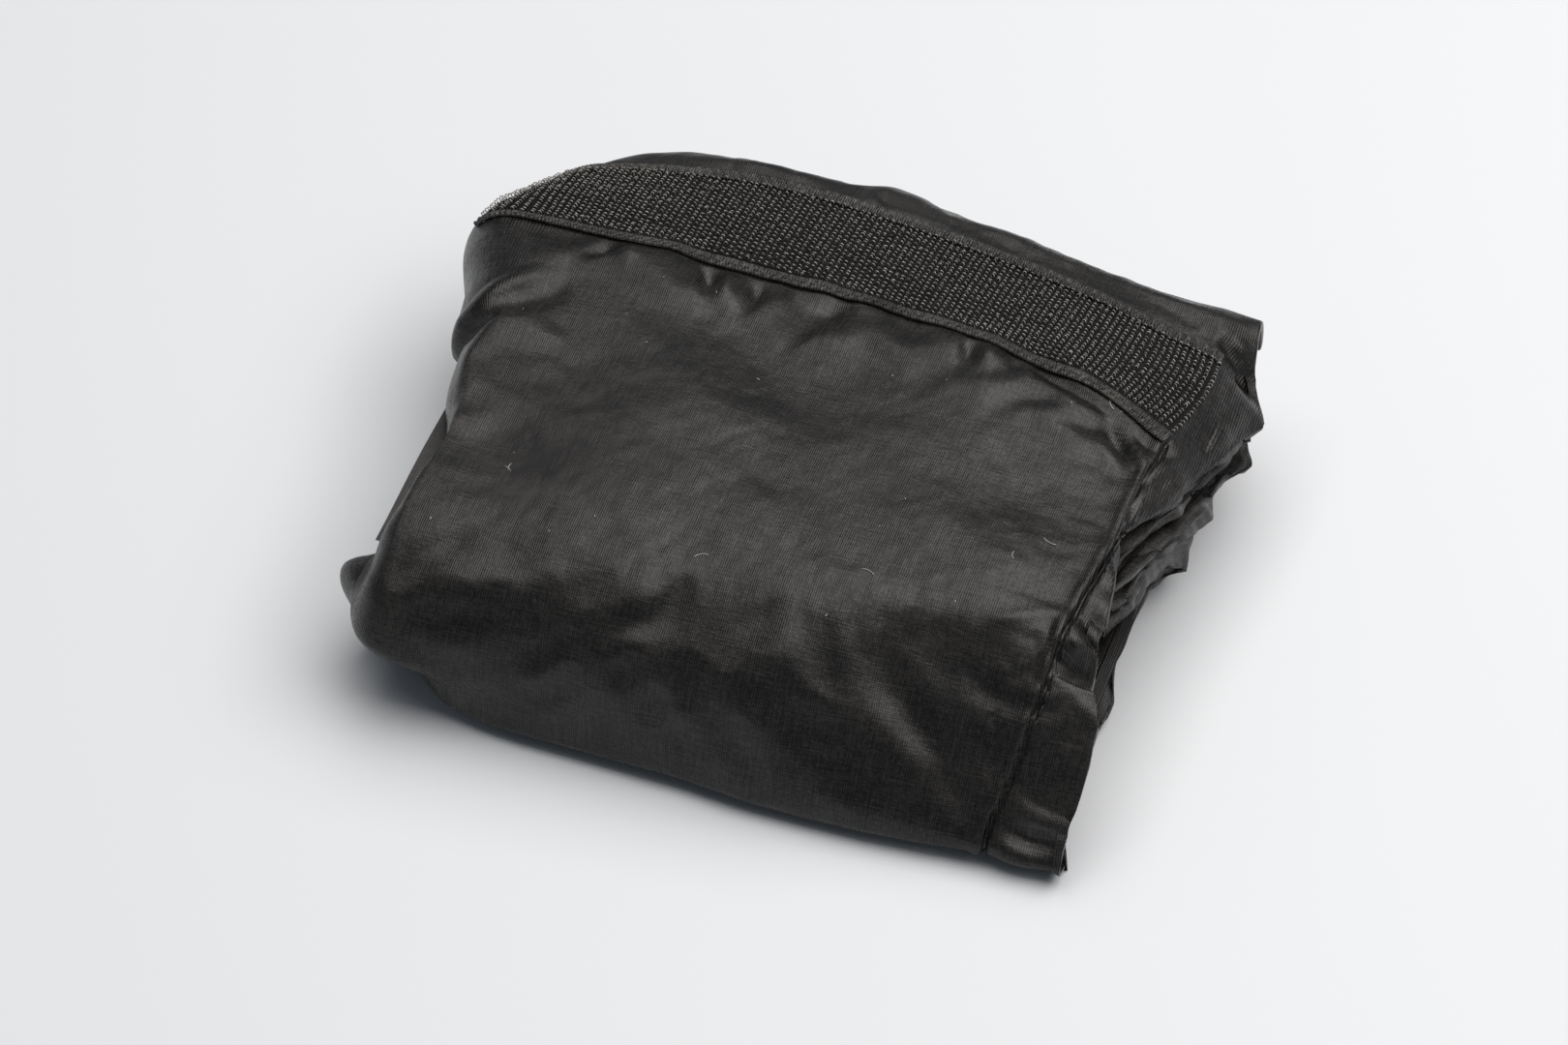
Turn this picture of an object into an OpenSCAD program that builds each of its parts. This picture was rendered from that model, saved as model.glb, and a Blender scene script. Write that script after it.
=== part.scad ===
// Film changing bag, folded for storage.
// A double bag of black nylon with two zips, two elastic sleeves and a hook-and-loop light flap. It is
// folded in three along its length: the base and middle thirds stay put, and the top third opens about
// the front fold. X runs along the mouth, +Y is the back, where the mouth lies, and +Z is up.

/* [Folded bundle] */
// Width of the bundle along the mouth
bundle_w = 158; // [150:1:180]
// Depth from the front fold to the loop tape at the back
bundle_d = 126; // [116:1:150]
// Height of the top third's upper skin at the middle
skin_z = 39.6; // [39:0.2:40.4]
// How much lower the upper skin lies at its two ends
crown = 2; // [0.5:0.1:2.4]
// How far the front fold bulges past the stack
fold_reach = 8; // [7:0.5:10]
// Radius of the fold down the left-hand end of the top third
roll_r = 11; // [9:0.5:12]

/* [Cloth] */
// Thickness that stands for one skin of folded nylon
skin_t = 0.9; // [0.6:0.1:1]
// Gap between neighbouring layers
layer_gap = 0.3; // [0.2:0.05:0.4]
// Width of the side seam's allowance at the right-hand end
hem_w = 16; // [12:1:18]

/* [Hook and loop tape] */
// Width of the hook tape
hook_w = 25; // [20:1:26]
// Turn of the hook tape in plan, in degrees
hook_turn = -5; // [-6:0.5:0]
// Thickness of the woven ground of either tape
tape_t = 0.5; // [0.4:0.1:0.6]
// Height of the hooks above the ground
hook_h = 1; // [0.8:0.1:1.1]
// Width of the loop tape
loop_w = 16; // [12:1:16]

/* [Zips] */
// Radius of one coil of the zip chain
coil_r = 1.1; // [0.9:0.1:1.1]
// Length of the straight stretch that a slider runs along
zip_travel = 100; // [60:5:100]

/* [Hidden] */
$fn = 48;
EPS = 0.01;
half_w = bundle_w / 2;
half_d = bundle_d / 2;
// Stack ends and the front fold's axis
hinge_y = -half_d + fold_reach;
stack_front = hinge_y + 0.5;
stack_back = half_d - 3.8;
// Levels of the layers
middle_top = 20.2;
inner_turn_z = middle_top / 2;
sleeve_z = middle_top + layer_gap;
sleeve_h = 4.8;
under_z = sleeve_z + sleeve_h + 0.6;
// Mouth, zips and light flap
crest_y = half_d - 3.4;
zip_y = half_d - 10.4;
inner_zip_y = zip_y - 27;
zip_z = 34.4;
zip_half_h = 3.1;
flap_t = 1;
loop_t = 1.5;
flap_y = half_d - loop_t - flap_t / 2;
flap_z = 31;
flap_half_w = half_w - 9;
closed_z = skin_z + tape_t + hook_h + 0.5 + loop_t + flap_t / 2;
riser_len = closed_z - flap_z;
tip_z = flap_z - riser_len;
tip_len = tip_z - 1.5;
// Sleeves and their cuffs
sleeve_w = 60;
sleeve_x = 36;
cuff_w = 48;
cuff_len = 13;
// Base third's cloth stops short of the top third's at both ends
base_left = -half_w + 2;
base_right = half_w - 5;

NYLON = "#26262a";
LINING = "#1b1b1f";
TAPE = "#101012";
METAL = "#34343a";

// ---- Shapes -------------------------------------------------------------------------------------

// Points on an oval arc about (cx, cz), from angle a0 to a1.
function oval(cx, cz, rx, rz, a0, a1, n = 8) =
    [for (i = [0 : n]) let (a = a0 + (a1 - a0) * i / n) [cx + rx * cos(a), cz + rz * sin(a)]];

function arc(cx, cz, r, a0, a1, n = 8) = oval(cx, cz, r, r, a0, a1, n);

// Unit normal, to the left of the way the path runs, at its point i.
function normal_at(path, i) =
    let (
        ahead = path[min(i + 1, len(path) - 1)],
        behind = path[max(i - 1, 0)],
        along = (ahead - behind) / norm(ahead - behind)
    ) [-along[1], along[0]];

// A ribbon between the offsets a and b from a path, both measured to the left of it.
function ribbon(path, a, b) = concat(
    [for (i = [0 : len(path) - 1]) path[i] + a * normal_at(path, i)],
    [for (i = [len(path) - 1 : -1 : 0]) path[i] + b * normal_at(path, i)]
);

// Three runs of cloth folded to and fro between the ends a and b, from the mid-height z upwards.
function in_three(a, b, z, pitch) =
    let (r = pitch / 2) concat(
        [[a, z]],
        arc(b, z + r, r, -90, 90, 6),
        arc(a, z + pitch + r, r, 270, 90, 6),
        [[b, z + 2 * pitch]]
    );

// A closed outline in X and Z, run along Y.
module along_y(points, y0, y1) {
    translate([0, y1, 0]) rotate([90, 0, 0]) linear_extrude(y1 - y0) polygon(points);
}

// A closed outline in Y and Z, run along X.
module along_x(points, x0, x1) {
    translate([x0, 0, 0]) rotate([90, 0, 90]) linear_extrude(x1 - x0) polygon(points);
}

// What one outline run along X and one run along Y have in common.
module common(yz, xz) {
    intersection() {
        along_x(yz, -half_w - 1, half_w + 1);
        along_y(xz, -half_d - 1, half_d + 1);
    }
}

// Outline of a flat tube of width w and height h about (0, 0).
function flat_tube(w, h) = concat(
    arc(w / 2 - h / 2, 0, h / 2, -90, 90),
    arc(-w / 2 + h / 2, 0, h / 2, 90, 270)
);

module flat_ring(w, h, wall, y0, y1) {
    difference() {
        along_y(flat_tube(w, h), y0, y1);
        along_y(flat_tube(w - 2 * wall, h - 2 * wall), y0 - 1, y1 + 1);
    }
}

// Height of the upper skin's underside at x: a shallow crown over the middle.
function skin_at(x) = skin_z - skin_t - crown * pow(x / half_w, 2);

// Points along the crown from x0 to x1, lifted by rise.
function crown_line(x0, x1, rise, n = 12) =
    [for (i = [0 : n]) let (x = x0 + (x1 - x0) * i / n) [x, skin_at(x) + rise]];

// The left-hand end's roll, from the crown down, with the skin's outside at inset 0.
function left_roll(inset, low) = concat(
    arc(-half_w + roll_r, skin_at(-half_w + roll_r) + skin_t - roll_r, roll_r - inset, 95, 180, 7),
    [[-half_w + inset, low]]
);

// ---- Base and middle thirds ----------------------------------------------------------------------

// Rear panel: under the base third, round the back fold, over the middle third and closed at the left.
module outer_rear_panel_base() {
    r = middle_top / 2;
    corner = 4;
    yz = concat(
        [[stack_front, 0]],
        arc(stack_back - r, r, r, -90, 90, 12),
        [[stack_front, middle_top]]
    );
    yz_in = concat(
        [[stack_front - 1, skin_t]],
        arc(stack_back - r, r, r - skin_t, -90, 90, 12),
        [[stack_front - 1, middle_top - skin_t]]
    );
    xz = concat(
        [[base_right, 0], [base_right, middle_top]],
        arc(base_left + corner, middle_top - corner, corner, 90, 180, 5),
        arc(base_left + corner, corner, corner, 180, 270, 5)
    );
    xz_in = concat(
        [[base_right + 1, skin_t - 0.4], [base_right + 1, middle_top - skin_t + 0.4]],
        [[base_left + corner, middle_top - skin_t + 0.4]],
        arc(base_left + corner, middle_top - corner, corner - skin_t, 85, 180, 5),
        arc(base_left + corner, corner, corner - skin_t, 180, 275, 5),
        [[base_left + corner, skin_t - 0.4]]
    );
    color(NYLON) difference() {
        common(yz, xz);
        common(yz_in, xz_in);
    }
}

// Front panel: lies against itself between the base and middle thirds.
module outer_front_panel_base() {
    path = concat(
        [[stack_front, inner_turn_z - 1.2]],
        arc(stack_back - 9, inner_turn_z, 1.2, -90, 90),
        [[stack_front, inner_turn_z + 1.2]]
    );
    color(NYLON) along_x(ribbon(path, 0, 0.7), base_left + 2, half_w - 6);
}

// One third's share of the inner bag, folded in three across the bundle.
module lining_pack(low, high, shift, y0, y1) {
    pitch = (high - low) / 3;
    t = pitch - 0.5;
    path = in_three(-half_w + 10 + shift, half_w - 10 + shift, low + pitch / 2, pitch);
    color(LINING) along_y(ribbon(path, -t / 2, t / 2), y0, y1);
}

module lining_base() {
    lining_pack(skin_t, inner_turn_z - 1.2, -1, stack_front + 1, stack_back - 13);
}

module lining_middle() {
    lining_pack(inner_turn_z + 1.2, middle_top - skin_t, 1, stack_front + 1, stack_back - 13);
}

// The lower sheet's seam allowance, seen under the top third at the right-hand end.
module side_seam_base() {
    start = base_right + layer_gap;
    path = [for (i = [0 : 8]) [start + i * (half_w - 1 - start) / 8, 3.2 * pow(i / 8, 2)]];
    color(NYLON) along_y(ribbon(path, 0.1, skin_t), stack_front, stack_back - 24);
}

// ---- Sleeves -------------------------------------------------------------------------------------

module sleeve(side) {
    path = in_three(stack_front + 3, stack_back - 23, sleeve_z + 0.8, 1.6);
    color(NYLON) along_x(
        ribbon(path, -0.55, 0.55), side * sleeve_x - sleeve_w / 2, side * sleeve_x + sleeve_w / 2
    );
}

// One layer of a cuff, taking in from the full height by inset.
module cuff_ring(side, inset, wall, end_inset) {
    end = stack_back - 21;
    h = sleeve_h - 0.1 - 2 * inset;
    translate([side * sleeve_x, 0, sleeve_z + sleeve_h / 2])
        flat_ring(cuff_w - 2 * inset, h, wall, end + end_inset, end + cuff_len - end_inset);
}

module cuff_hem(side) {
    color(NYLON) {
        cuff_ring(side, 0, 0.45, 0);
        cuff_ring(side, 1.55, 0.45, 0);
    }
}

module cuff_elastic(side) {
    color(TAPE) cuff_ring(side, 0.55, 0.9, 1);
}

// ---- Front fold ----------------------------------------------------------------------------------

// The front fold's skin bulges most low down and leans back above.
module front_fold_outer() {
    nose = 9;
    yz = concat(
        oval(hinge_y, nose, fold_reach, nose, 270, 180, 6),
        oval(hinge_y, nose, fold_reach, skin_z - nose, 170, 90, 8)
    );
    yz_in = concat(
        [[hinge_y + 1, skin_t]],
        oval(hinge_y, nose, fold_reach - skin_t, nose - skin_t, 270, 180, 6),
        oval(hinge_y, nose, fold_reach - skin_t, skin_z - skin_t - nose, 170, 90, 8),
        [[hinge_y + 1, skin_z - skin_t]]
    );
    xz = concat(
        [[half_w - 1, 0]],
        crown_line(half_w - 1, -half_w + roll_r + 1, skin_t),
        left_roll(0, 5),
        [[-half_w + 4, 0]]
    );
    xz_in = concat(
        [[half_w, skin_t - 0.4]],
        crown_line(half_w, -half_w + roll_r + 1, 0),
        left_roll(skin_t, 5),
        [[-half_w + 4.4, skin_t - 0.4]]
    );
    color(NYLON) difference() {
        common(yz, xz);
        common(yz_in, xz_in);
    }
}

module front_fold_inner() {
    low = inner_turn_z + 1;
    high = under_z + skin_t;
    path = oval(
        hinge_y - 0.4, (low + high) / 2, fold_reach - 4, (high - low) / 2 - 0.7, 270, 90, 12
    );
    color(NYLON) along_x(ribbon(path, -0.7, 0), -half_w + 6, half_w - 6);
}

// ---- Top third -----------------------------------------------------------------------------------

// Rear panel of the top third: the crowned upper skin, turned down at the left-hand fold.
module outer_rear_panel_top() {
    path = concat(
        crown_line(half_w - hem_w, -half_w + roll_r + 1, 0, 16),
        left_roll(skin_t, under_z + 1.2)
    );
    color(NYLON) along_y(ribbon(path, -skin_t, 0), hinge_y, crest_y);
}

// Front panel of the top third: the under skin, turned up at the mouth to carry the light flap.
module outer_front_panel_top() {
    r = 3.4;
    path = concat(
        [[hinge_y, under_z]],
        arc(crest_y - r, under_z + r, r, -90, 0),
        [[crest_y, flap_z - 1.1]]
    );
    color(NYLON) along_x(ribbon(path, 0, skin_t), -half_w + 2, half_w - 2);
}

module lining_top() {
    high = skin_at(half_w) - 0.5;
    lining_pack(under_z + skin_t, high, -1.5, stack_front + 1, inner_zip_y - 6);
}

// The seam allowance carries the upper skin's line on past the seam and droops a little.
module side_seam_top() {
    x0 = half_w - hem_w + layer_gap;
    path = [
        for (i = [0 : 8])
            let (x = half_w - i * (half_w - x0) / 8)
            [x, skin_at(x) - 1.4 * pow(1 - i / 8, 2)]
    ];
    color(NYLON) along_y(ribbon(path, -skin_t, 0), hinge_y, crest_y - 14);
}

// Thread of the side seam, laid along the edge of the upper skin.
module side_seam_thread() {
    x = half_w - hem_w - 2.5;
    thread_end = crest_y - hook_w - 20;
    color(TAPE)
        translate([x, thread_end, skin_at(x) + skin_t + 0.2])
            rotate([90, 0, 0]) cylinder(r = 0.2, h = thread_end - hinge_y, $fn = 24);
}

// ---- Hook tape -----------------------------------------------------------------------------------

// Runs its children in the hook tape's own frame, turned in plan about the tape's middle.
module on_hook_tape() {
    translate([-2, crest_y - 8 - hook_w / 2, 0]) rotate([0, 0, hook_turn]) children();
}

// A strip that follows the crown, its underside lifted by rise above the skin.
module crowned_strip(rise, t, length, y0, y1) {
    path = crown_line(length / 2, -length / 2, skin_t + 0.12 + rise, 16);
    along_y(ribbon(path, -t, 0), y0, y1);
}

module hook_tape_ground() {
    color(TAPE) on_hook_tape()
        crowned_strip(0, tape_t, bundle_w - 24, -hook_w / 2, hook_w / 2);
}

// The field of hooks between the two selvedges.
module hook_tape_hooks() {
    edge = hook_w / 2 - 2.6;
    color(TAPE) on_hook_tape()
        crowned_strip(tape_t, hook_h, bundle_w - 26, -edge, edge);
}

module hook_tape_thread() {
    length = bundle_w - 60;
    color(TAPE) on_hook_tape() for (side = [-1, 1])
        translate([-length / 2, side * (hook_w / 2 - 1.2), skin_z + 0.12 + tape_t + 0.2])
            rotate([0, 90, 0]) cylinder(r = 0.2, h = length, $fn = 24);
}

// ---- Zips ----------------------------------------------------------------------------------------

// Each zip lies in an upright plane facing the back, its chain along X.
chain_len = zip_travel + 2.8;
tape_len = chain_len + 8;
coil_gap = 0.8;
coil_y = 0.3 + coil_r;
face_y = coil_y + coil_r + 0.3;

module zip_tape(y, side) {
    near = coil_gap / 2 + 0.3;
    low = side > 0 ? zip_z + near : zip_z - zip_half_h;
    color(TAPE) translate([-tape_len / 2, y - 0.3, low]) cube([tape_len, 0.6, zip_half_h - near]);
}

module zip_coil(y, side) {
    color(TAPE) translate([-chain_len / 2, y + coil_y, zip_z + side * (coil_gap / 2 + coil_r)])
        rotate([0, 90, 0]) cylinder(r = coil_r, h = chain_len);
}

// Metal stops on the face of the tape at both ends of the chain.
module zip_end_stops(y) {
    color(METAL) for (end = [-1, 1])
        translate([end * (chain_len / 2 + 1.2) - 1, y + 0.35, zip_z - 2.2]) cube([2, 2.4, 4.4]);
}

plate_l = 9;
plate_h = 5.4;
plate_t = 0.8;
pin_r = 0.65;
pin_x = zip_travel / 2 - 3.6;
pin_y = face_y + plate_t + 0.2 + pin_r;
pull_len = 20;
pull_arm = 6.5;
pull_h = 4;

// Slider: two plates joined by a web through the chain, and a bridge for the pull.
module zip_slider(y) {
    x = zip_travel / 2 - plate_l / 2 - 3.6;
    inner = y - 0.6 - plate_t;
    outer = y + face_y;
    bridge = y + pin_y + pin_r + 0.3;
    color(METAL) {
        translate([x, outer, zip_z - plate_h / 2]) cube([plate_l, plate_t, plate_h]);
        translate([x, inner, zip_z - plate_h / 2]) cube([plate_l, plate_t, plate_h]);
        translate([x + 6, inner + plate_t - EPS, zip_z - 0.25])
            cube([2.4, outer - inner - plate_t + 2 * EPS, 0.5]);
        for (post = [0.8, plate_l - 1.8])
            translate([x + post, outer + plate_t - EPS, zip_z - 0.8])
                cube([1, bridge - outer - plate_t + 2 * EPS, 1.6]);
        translate([x + 0.8, bridge, zip_z - 0.8]) cube([plate_l - 1.6, 0.7, 1.6]);
    }
}

// Pull: a cross pin under the bridge, two arms past it and a tab that lies along the chain.
module zip_pull(y) {
    tab = pull_len - pull_arm;
    color(METAL) translate([pin_x, y + pin_y, zip_z]) {
        translate([0, 0, -pull_h / 2]) cylinder(r = pin_r, h = pull_h);
        for (side = [-1, 1])
            translate([-pull_arm, -0.45, side * (pull_h / 2 - 0.45) - 0.45])
                cube([pull_arm, 0.9, 0.9]);
        difference() {
            translate([-pull_len, -0.45, -pull_h / 2]) cube([tab + EPS, 0.9, pull_h]);
            translate([-pull_len + 2.6, 0, 0]) rotate([90, 0, 0])
                cylinder(r = 1, h = 2, center = true);
        }
    }
}

// ---- Light flap ----------------------------------------------------------------------------------

// One length of the flap hanging from a bead at height top.
module flap_length(top, bead_r, length) {
    color(NYLON) {
        translate([-flap_half_w, flap_y, top]) rotate([0, 90, 0])
            cylinder(r = bead_r, h = 2 * flap_half_w);
        translate([-flap_half_w, flap_y - flap_t / 2, top - length])
            cube([2 * flap_half_w, flap_t, length]);
    }
}

module light_flap_riser() {
    flap_length(flap_z, 0.8, riser_len - 0.9);
}

module light_flap_tip() {
    flap_length(tip_z, 0.55, tip_len);
}

// Loop tape on the flap's outward face, which comes down on the hooks when the flap is closed.
module loop_tape() {
    color(TAPE) translate([-flap_half_w + 1, flap_y + flap_t / 2, tip_z - tip_len + 0.6])
        cube([2 * flap_half_w - 2, loop_t, min(loop_w, tip_len - 1.4)]);
}

module loop_tape_thread() {
    color(TAPE) for (z = [tip_z - tip_len + 0.3, tip_z - 0.5])
        translate([-flap_half_w + 2, flap_y + flap_t / 2 + 0.18, z])
            rotate([0, 90, 0]) cylinder(r = 0.18, h = 2 * flap_half_w - 4, $fn = 24);
}

// ---- Nodes ---------------------------------------------------------------------------------------

outer_rear_panel_base();
outer_front_panel_base();
lining_base();
lining_middle();
side_seam_base();
sleeve(-1);  // left_sleeve
sleeve(1);  // right_sleeve
cuff_hem(-1);  // left_cuff_hem
cuff_hem(1);  // right_cuff_hem
cuff_elastic(-1);  // left_cuff_elastic
cuff_elastic(1);  // right_cuff_elastic
front_fold_outer();
front_fold_inner();
outer_rear_panel_top();
outer_front_panel_top();
lining_top();
side_seam_top();
side_seam_thread();
hook_tape_ground();
hook_tape_hooks();
hook_tape_thread();
zip_tape(zip_y, 1);  // outer_zip_upper_tape
zip_tape(zip_y, -1);  // outer_zip_lower_tape
zip_coil(zip_y, 1);  // outer_zip_upper_coil
zip_coil(zip_y, -1);  // outer_zip_lower_coil
zip_end_stops(zip_y);  // outer_zip_end_stops
zip_slider(zip_y);  // outer_zip_slider
zip_pull(zip_y);  // outer_zip_pull
zip_tape(inner_zip_y, 1);  // inner_zip_upper_tape
zip_tape(inner_zip_y, -1);  // inner_zip_lower_tape
zip_coil(inner_zip_y, 1);  // inner_zip_upper_coil
zip_coil(inner_zip_y, -1);  // inner_zip_lower_coil
zip_end_stops(inner_zip_y);  // inner_zip_end_stops
zip_slider(inner_zip_y);  // inner_zip_slider
zip_pull(inner_zip_y);  // inner_zip_pull
light_flap_riser();
light_flap_tip();
loop_tape();
loop_tape_thread();
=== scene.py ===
"""Film changing bag, folded for storage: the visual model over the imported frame.

Shapes are worked out in millimetres and turned into metres when a mesh is made. Cloth is built as
sheets over a rounded bundle, then creased; tapes, hooks, zips and stitches are laid on those sheets.
"""

import math

import bpy
import numpy as np
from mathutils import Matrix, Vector
from mathutils.bvhtree import BVHTree


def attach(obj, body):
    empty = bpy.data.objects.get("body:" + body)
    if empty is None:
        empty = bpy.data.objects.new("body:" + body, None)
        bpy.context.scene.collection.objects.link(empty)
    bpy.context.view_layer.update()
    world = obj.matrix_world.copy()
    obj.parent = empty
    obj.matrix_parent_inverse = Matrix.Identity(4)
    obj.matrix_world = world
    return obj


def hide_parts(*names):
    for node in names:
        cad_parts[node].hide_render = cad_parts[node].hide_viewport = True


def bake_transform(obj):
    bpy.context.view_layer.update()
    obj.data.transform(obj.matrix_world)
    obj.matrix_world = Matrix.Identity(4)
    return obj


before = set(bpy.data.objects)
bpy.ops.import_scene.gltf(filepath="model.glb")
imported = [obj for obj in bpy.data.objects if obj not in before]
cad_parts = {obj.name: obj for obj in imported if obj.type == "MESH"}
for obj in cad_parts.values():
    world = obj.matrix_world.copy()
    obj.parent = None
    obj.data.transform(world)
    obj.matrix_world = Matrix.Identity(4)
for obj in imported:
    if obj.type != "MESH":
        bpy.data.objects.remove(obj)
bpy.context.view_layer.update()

MM = 0.001
BASE, TOP = "base_and_middle_thirds", "top_third"


# ---- Mesh helpers --------------------------------------------------------------------------------


def mesh_of(name, verts, faces, uv=None):
    """Mesh data from points; uv is one (u, v) for each point."""
    mesh = bpy.data.meshes.new(name)
    mesh.from_pydata(verts.tolist(), [], [tuple(map(int, f)) for f in faces])
    if uv is not None:
        layer = mesh.uv_layers.new(name="cloth")
        index = np.empty(len(mesh.loops), int)
        mesh.loops.foreach_get("vertex_index", index)
        layer.data.foreach_set("uv", uv[index].astype(np.float32).ravel())
    return mesh


def placed(name, data):
    """An object of data, in the scene."""
    obj = bpy.data.objects.new(name, data)
    bpy.context.scene.collection.objects.link(obj)
    return obj


def make(name, verts, faces, material, body=None, uv=None, slot="outer_nylon"):
    """A mesh object from millimetre points. uv is one (u, v) in millimetres for each point."""
    mesh = mesh_of(name, np.asarray(verts) * MM, faces, None if uv is None else np.asarray(uv) * MM)
    mesh.materials.append(material)
    mesh.polygons.foreach_set("use_smooth", [True] * len(mesh.polygons))
    mesh.validate()
    mesh.update()
    obj = placed(name, mesh)
    if body:
        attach(obj, body)
    return obj


def grid_faces(nu, nv, start=0, flip=False):
    """Quads of a grid whose point (i, j) has index start + i * nv + j."""
    i, j = np.meshgrid(np.arange(nu - 1), np.arange(nv - 1), indexing="ij")
    at = start + i * nv + j
    quads = np.stack([at, at + nv, at + nv + 1, at + 1], -1).reshape(-1, 4)
    return quads[:, ::-1] if flip else quads


def weld(verts, faces, uv, gap=1e-4):
    """Merges points that coincide, keeping the first one's uv."""
    key = np.round(np.asarray(verts) / gap).astype(np.int64)
    _, first, back = np.unique(key, axis=0, return_index=True, return_inverse=True)
    back = back.ravel()
    order = np.argsort(first)
    rank = np.empty(len(first), int)
    rank[order] = np.arange(len(first))
    faces = rank[back[np.asarray(faces)]]
    keep = first[order]
    return np.asarray(verts)[keep], faces, np.asarray(uv)[keep]


def distances(line):
    """How far along a polyline each of its points lies."""
    return np.concatenate([[0], np.cumsum(np.linalg.norm(np.diff(line, axis=0), axis=1))])


def read_at(t, at, rows):
    """The three columns of rows, which belong to the values at, read at t."""
    return np.stack([np.interp(t, at, rows[:, k]) for k in range(3)], -1)


def lattice(x, y, z):
    """A grid of points from coordinates that broadcast against each other."""
    return np.stack(np.broadcast_arrays(x, y, z), -1).astype(float)


def ripple(P, seed, size):
    """The random field of waves(seed, size), read at each point of a grid."""
    return waves(seed, size)(P.reshape(-1, 3)).reshape(P.shape[:-1])


def grid(name, P, material, body, slot):
    """A mesh from a grid of points P[i, j], its uv measured along its middle row and column."""
    nu, nv = P.shape[:2]
    U, V = np.meshgrid(distances(P[:, nv // 2]), distances(P[nu // 2]), indexing="ij")
    cloth = np.stack([U, V], -1).reshape(-1, 2)
    return make(name, P.reshape(-1, 3), grid_faces(nu, nv), material, body, cloth, slot=slot)


def crumpled(P, *fields):
    """Moves a grid's points along its normals by the sum of (field, strength) pairs."""
    nu, nv = P.shape[:2]
    flat = P.reshape(-1, 3)
    n = vertex_normals(flat, grid_faces(nu, nv))
    lift = sum(strength * field(flat) for field, strength in fields)
    return (flat + n * np.reshape(lift, (-1, 1))).reshape(P.shape)


def resampled(points, n):
    """n points spread evenly along a polyline."""
    points = np.asarray(points, float)
    at = distances(points)
    return read_at(np.linspace(0.0, 1.0, n) * at[-1], at, points)


def loft(curves, along_n, between):
    """A grid whose rows run from each curve to the next in straight, sharp-creased steps."""
    rows = [resampled(c, along_n) for c in curves]
    out = []
    for k, (a, b) in enumerate(zip(rows[:-1], rows[1:])):
        for i in range(between):
            out.append(a + (b - a) * i / between)
    out.append(rows[-1])
    return np.stack(out, 1)


def tube(points, radius, sides):
    """Points and faces of a round thread along a line."""
    p = np.asarray(points, float)
    d = np.gradient(p, axis=0)
    d /= np.maximum(np.linalg.norm(d, axis=1, keepdims=True), 1e-9)
    up = np.array([0.31, 0.22, 0.93])
    a = np.cross(d, up)
    a /= np.maximum(np.linalg.norm(a, axis=1, keepdims=True), 1e-9)
    b = np.cross(d, a)
    turn = np.linspace(0, 2 * math.pi, sides, endpoint=False)
    ring = a[:, None] * np.cos(turn)[None, :, None] + b[:, None] * np.sin(turn)[None, :, None]
    verts = (p[:, None] + ring * radius).reshape(-1, 3)
    i, j = np.meshgrid(np.arange(len(p) - 1), np.arange(sides), indexing="ij")
    k = (j + 1) % sides
    faces = np.stack([i * sides + j, i * sides + k, (i + 1) * sides + k, (i + 1) * sides + j], -1)
    faces = faces.reshape(-1, 4).tolist()
    faces += [list(range(sides))[::-1], [(len(p) - 1) * sides + q for q in range(sides)]]
    return verts, faces


def bundle_of(parts):
    """Joins several (verts, faces) into one."""
    verts, faces, start = [], [], 0
    for v, f in parts:
        verts.append(v)
        faces += [[start + q for q in face] for face in f]
        start += len(v)
    return np.concatenate(verts), faces


def stitches(line, body, name, length=2.2, gap=0.7, radius=0.17, lift=0.1):
    """A row of short stitches along a line, which is its points and their normals."""
    points, normals = line
    at = distances(points)
    parts = []
    for start in np.arange(0.5, at[-1] - length, length + gap):
        t = np.linspace(start, start + length, 6)
        p, n = read_at(t, at, points), read_at(t, at, normals)
        rise = lift * np.sin(np.linspace(0, math.pi, 6)) - (np.abs(np.linspace(-1, 1, 6)) ** 4) * 0.25
        parts.append(tube(p + n * rise[:, None], radius, 5))
    return make(name, *bundle_of(parts), THREAD, body, slot="sewing_thread")


def vertex_normals(verts, faces):
    """Unit normals of the points of a mesh of quads."""
    f = np.asarray(faces)
    a, b, c, d = (verts[f[:, k]] for k in range(4))
    n = np.cross(c - a, d - b)
    total = np.zeros_like(verts)
    for k in range(4):
        np.add.at(total, f[:, k], n)
    return total / np.maximum(np.linalg.norm(total, axis=1, keepdims=True), 1e-12)


def waves(seed, size, count=16):
    """A smooth random field of unit strength whose features are about size across."""
    rng = np.random.default_rng(seed)
    d = rng.normal(size=(count, 3))
    d /= np.linalg.norm(d, axis=1, keepdims=True)
    k = d * (2 * math.pi / size * rng.uniform(0.55, 1.5, count))[:, None]
    phase = rng.uniform(0, 2 * math.pi, count)

    def field(p):
        return np.sin(np.asarray(p) @ k.T + phase).sum(-1) / math.sqrt(count / 2)

    return field


def smooth_step(t):
    t = np.clip(t, 0, 1)
    return t * t * (3 - 2 * t)


def through(xs, ys, x):
    """Smooth curve through the points (xs, ys), read at x."""
    xs, ys = np.asarray(xs, float), np.asarray(ys, float)
    slope = np.gradient(ys, xs)
    x = np.clip(x, xs[0], xs[-1])
    i = np.clip(np.searchsorted(xs, x) - 1, 0, len(xs) - 2)
    h = xs[i + 1] - xs[i]
    t = (x - xs[i]) / h
    a, b = 2 * t**3 - 3 * t**2 + 1, t**3 - 2 * t**2 + t
    c, d = -2 * t**3 + 3 * t**2, t**3 - t**2
    return a * ys[i] + b * h * slope[i] + c * ys[i + 1] + d * h * slope[i + 1]


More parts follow.
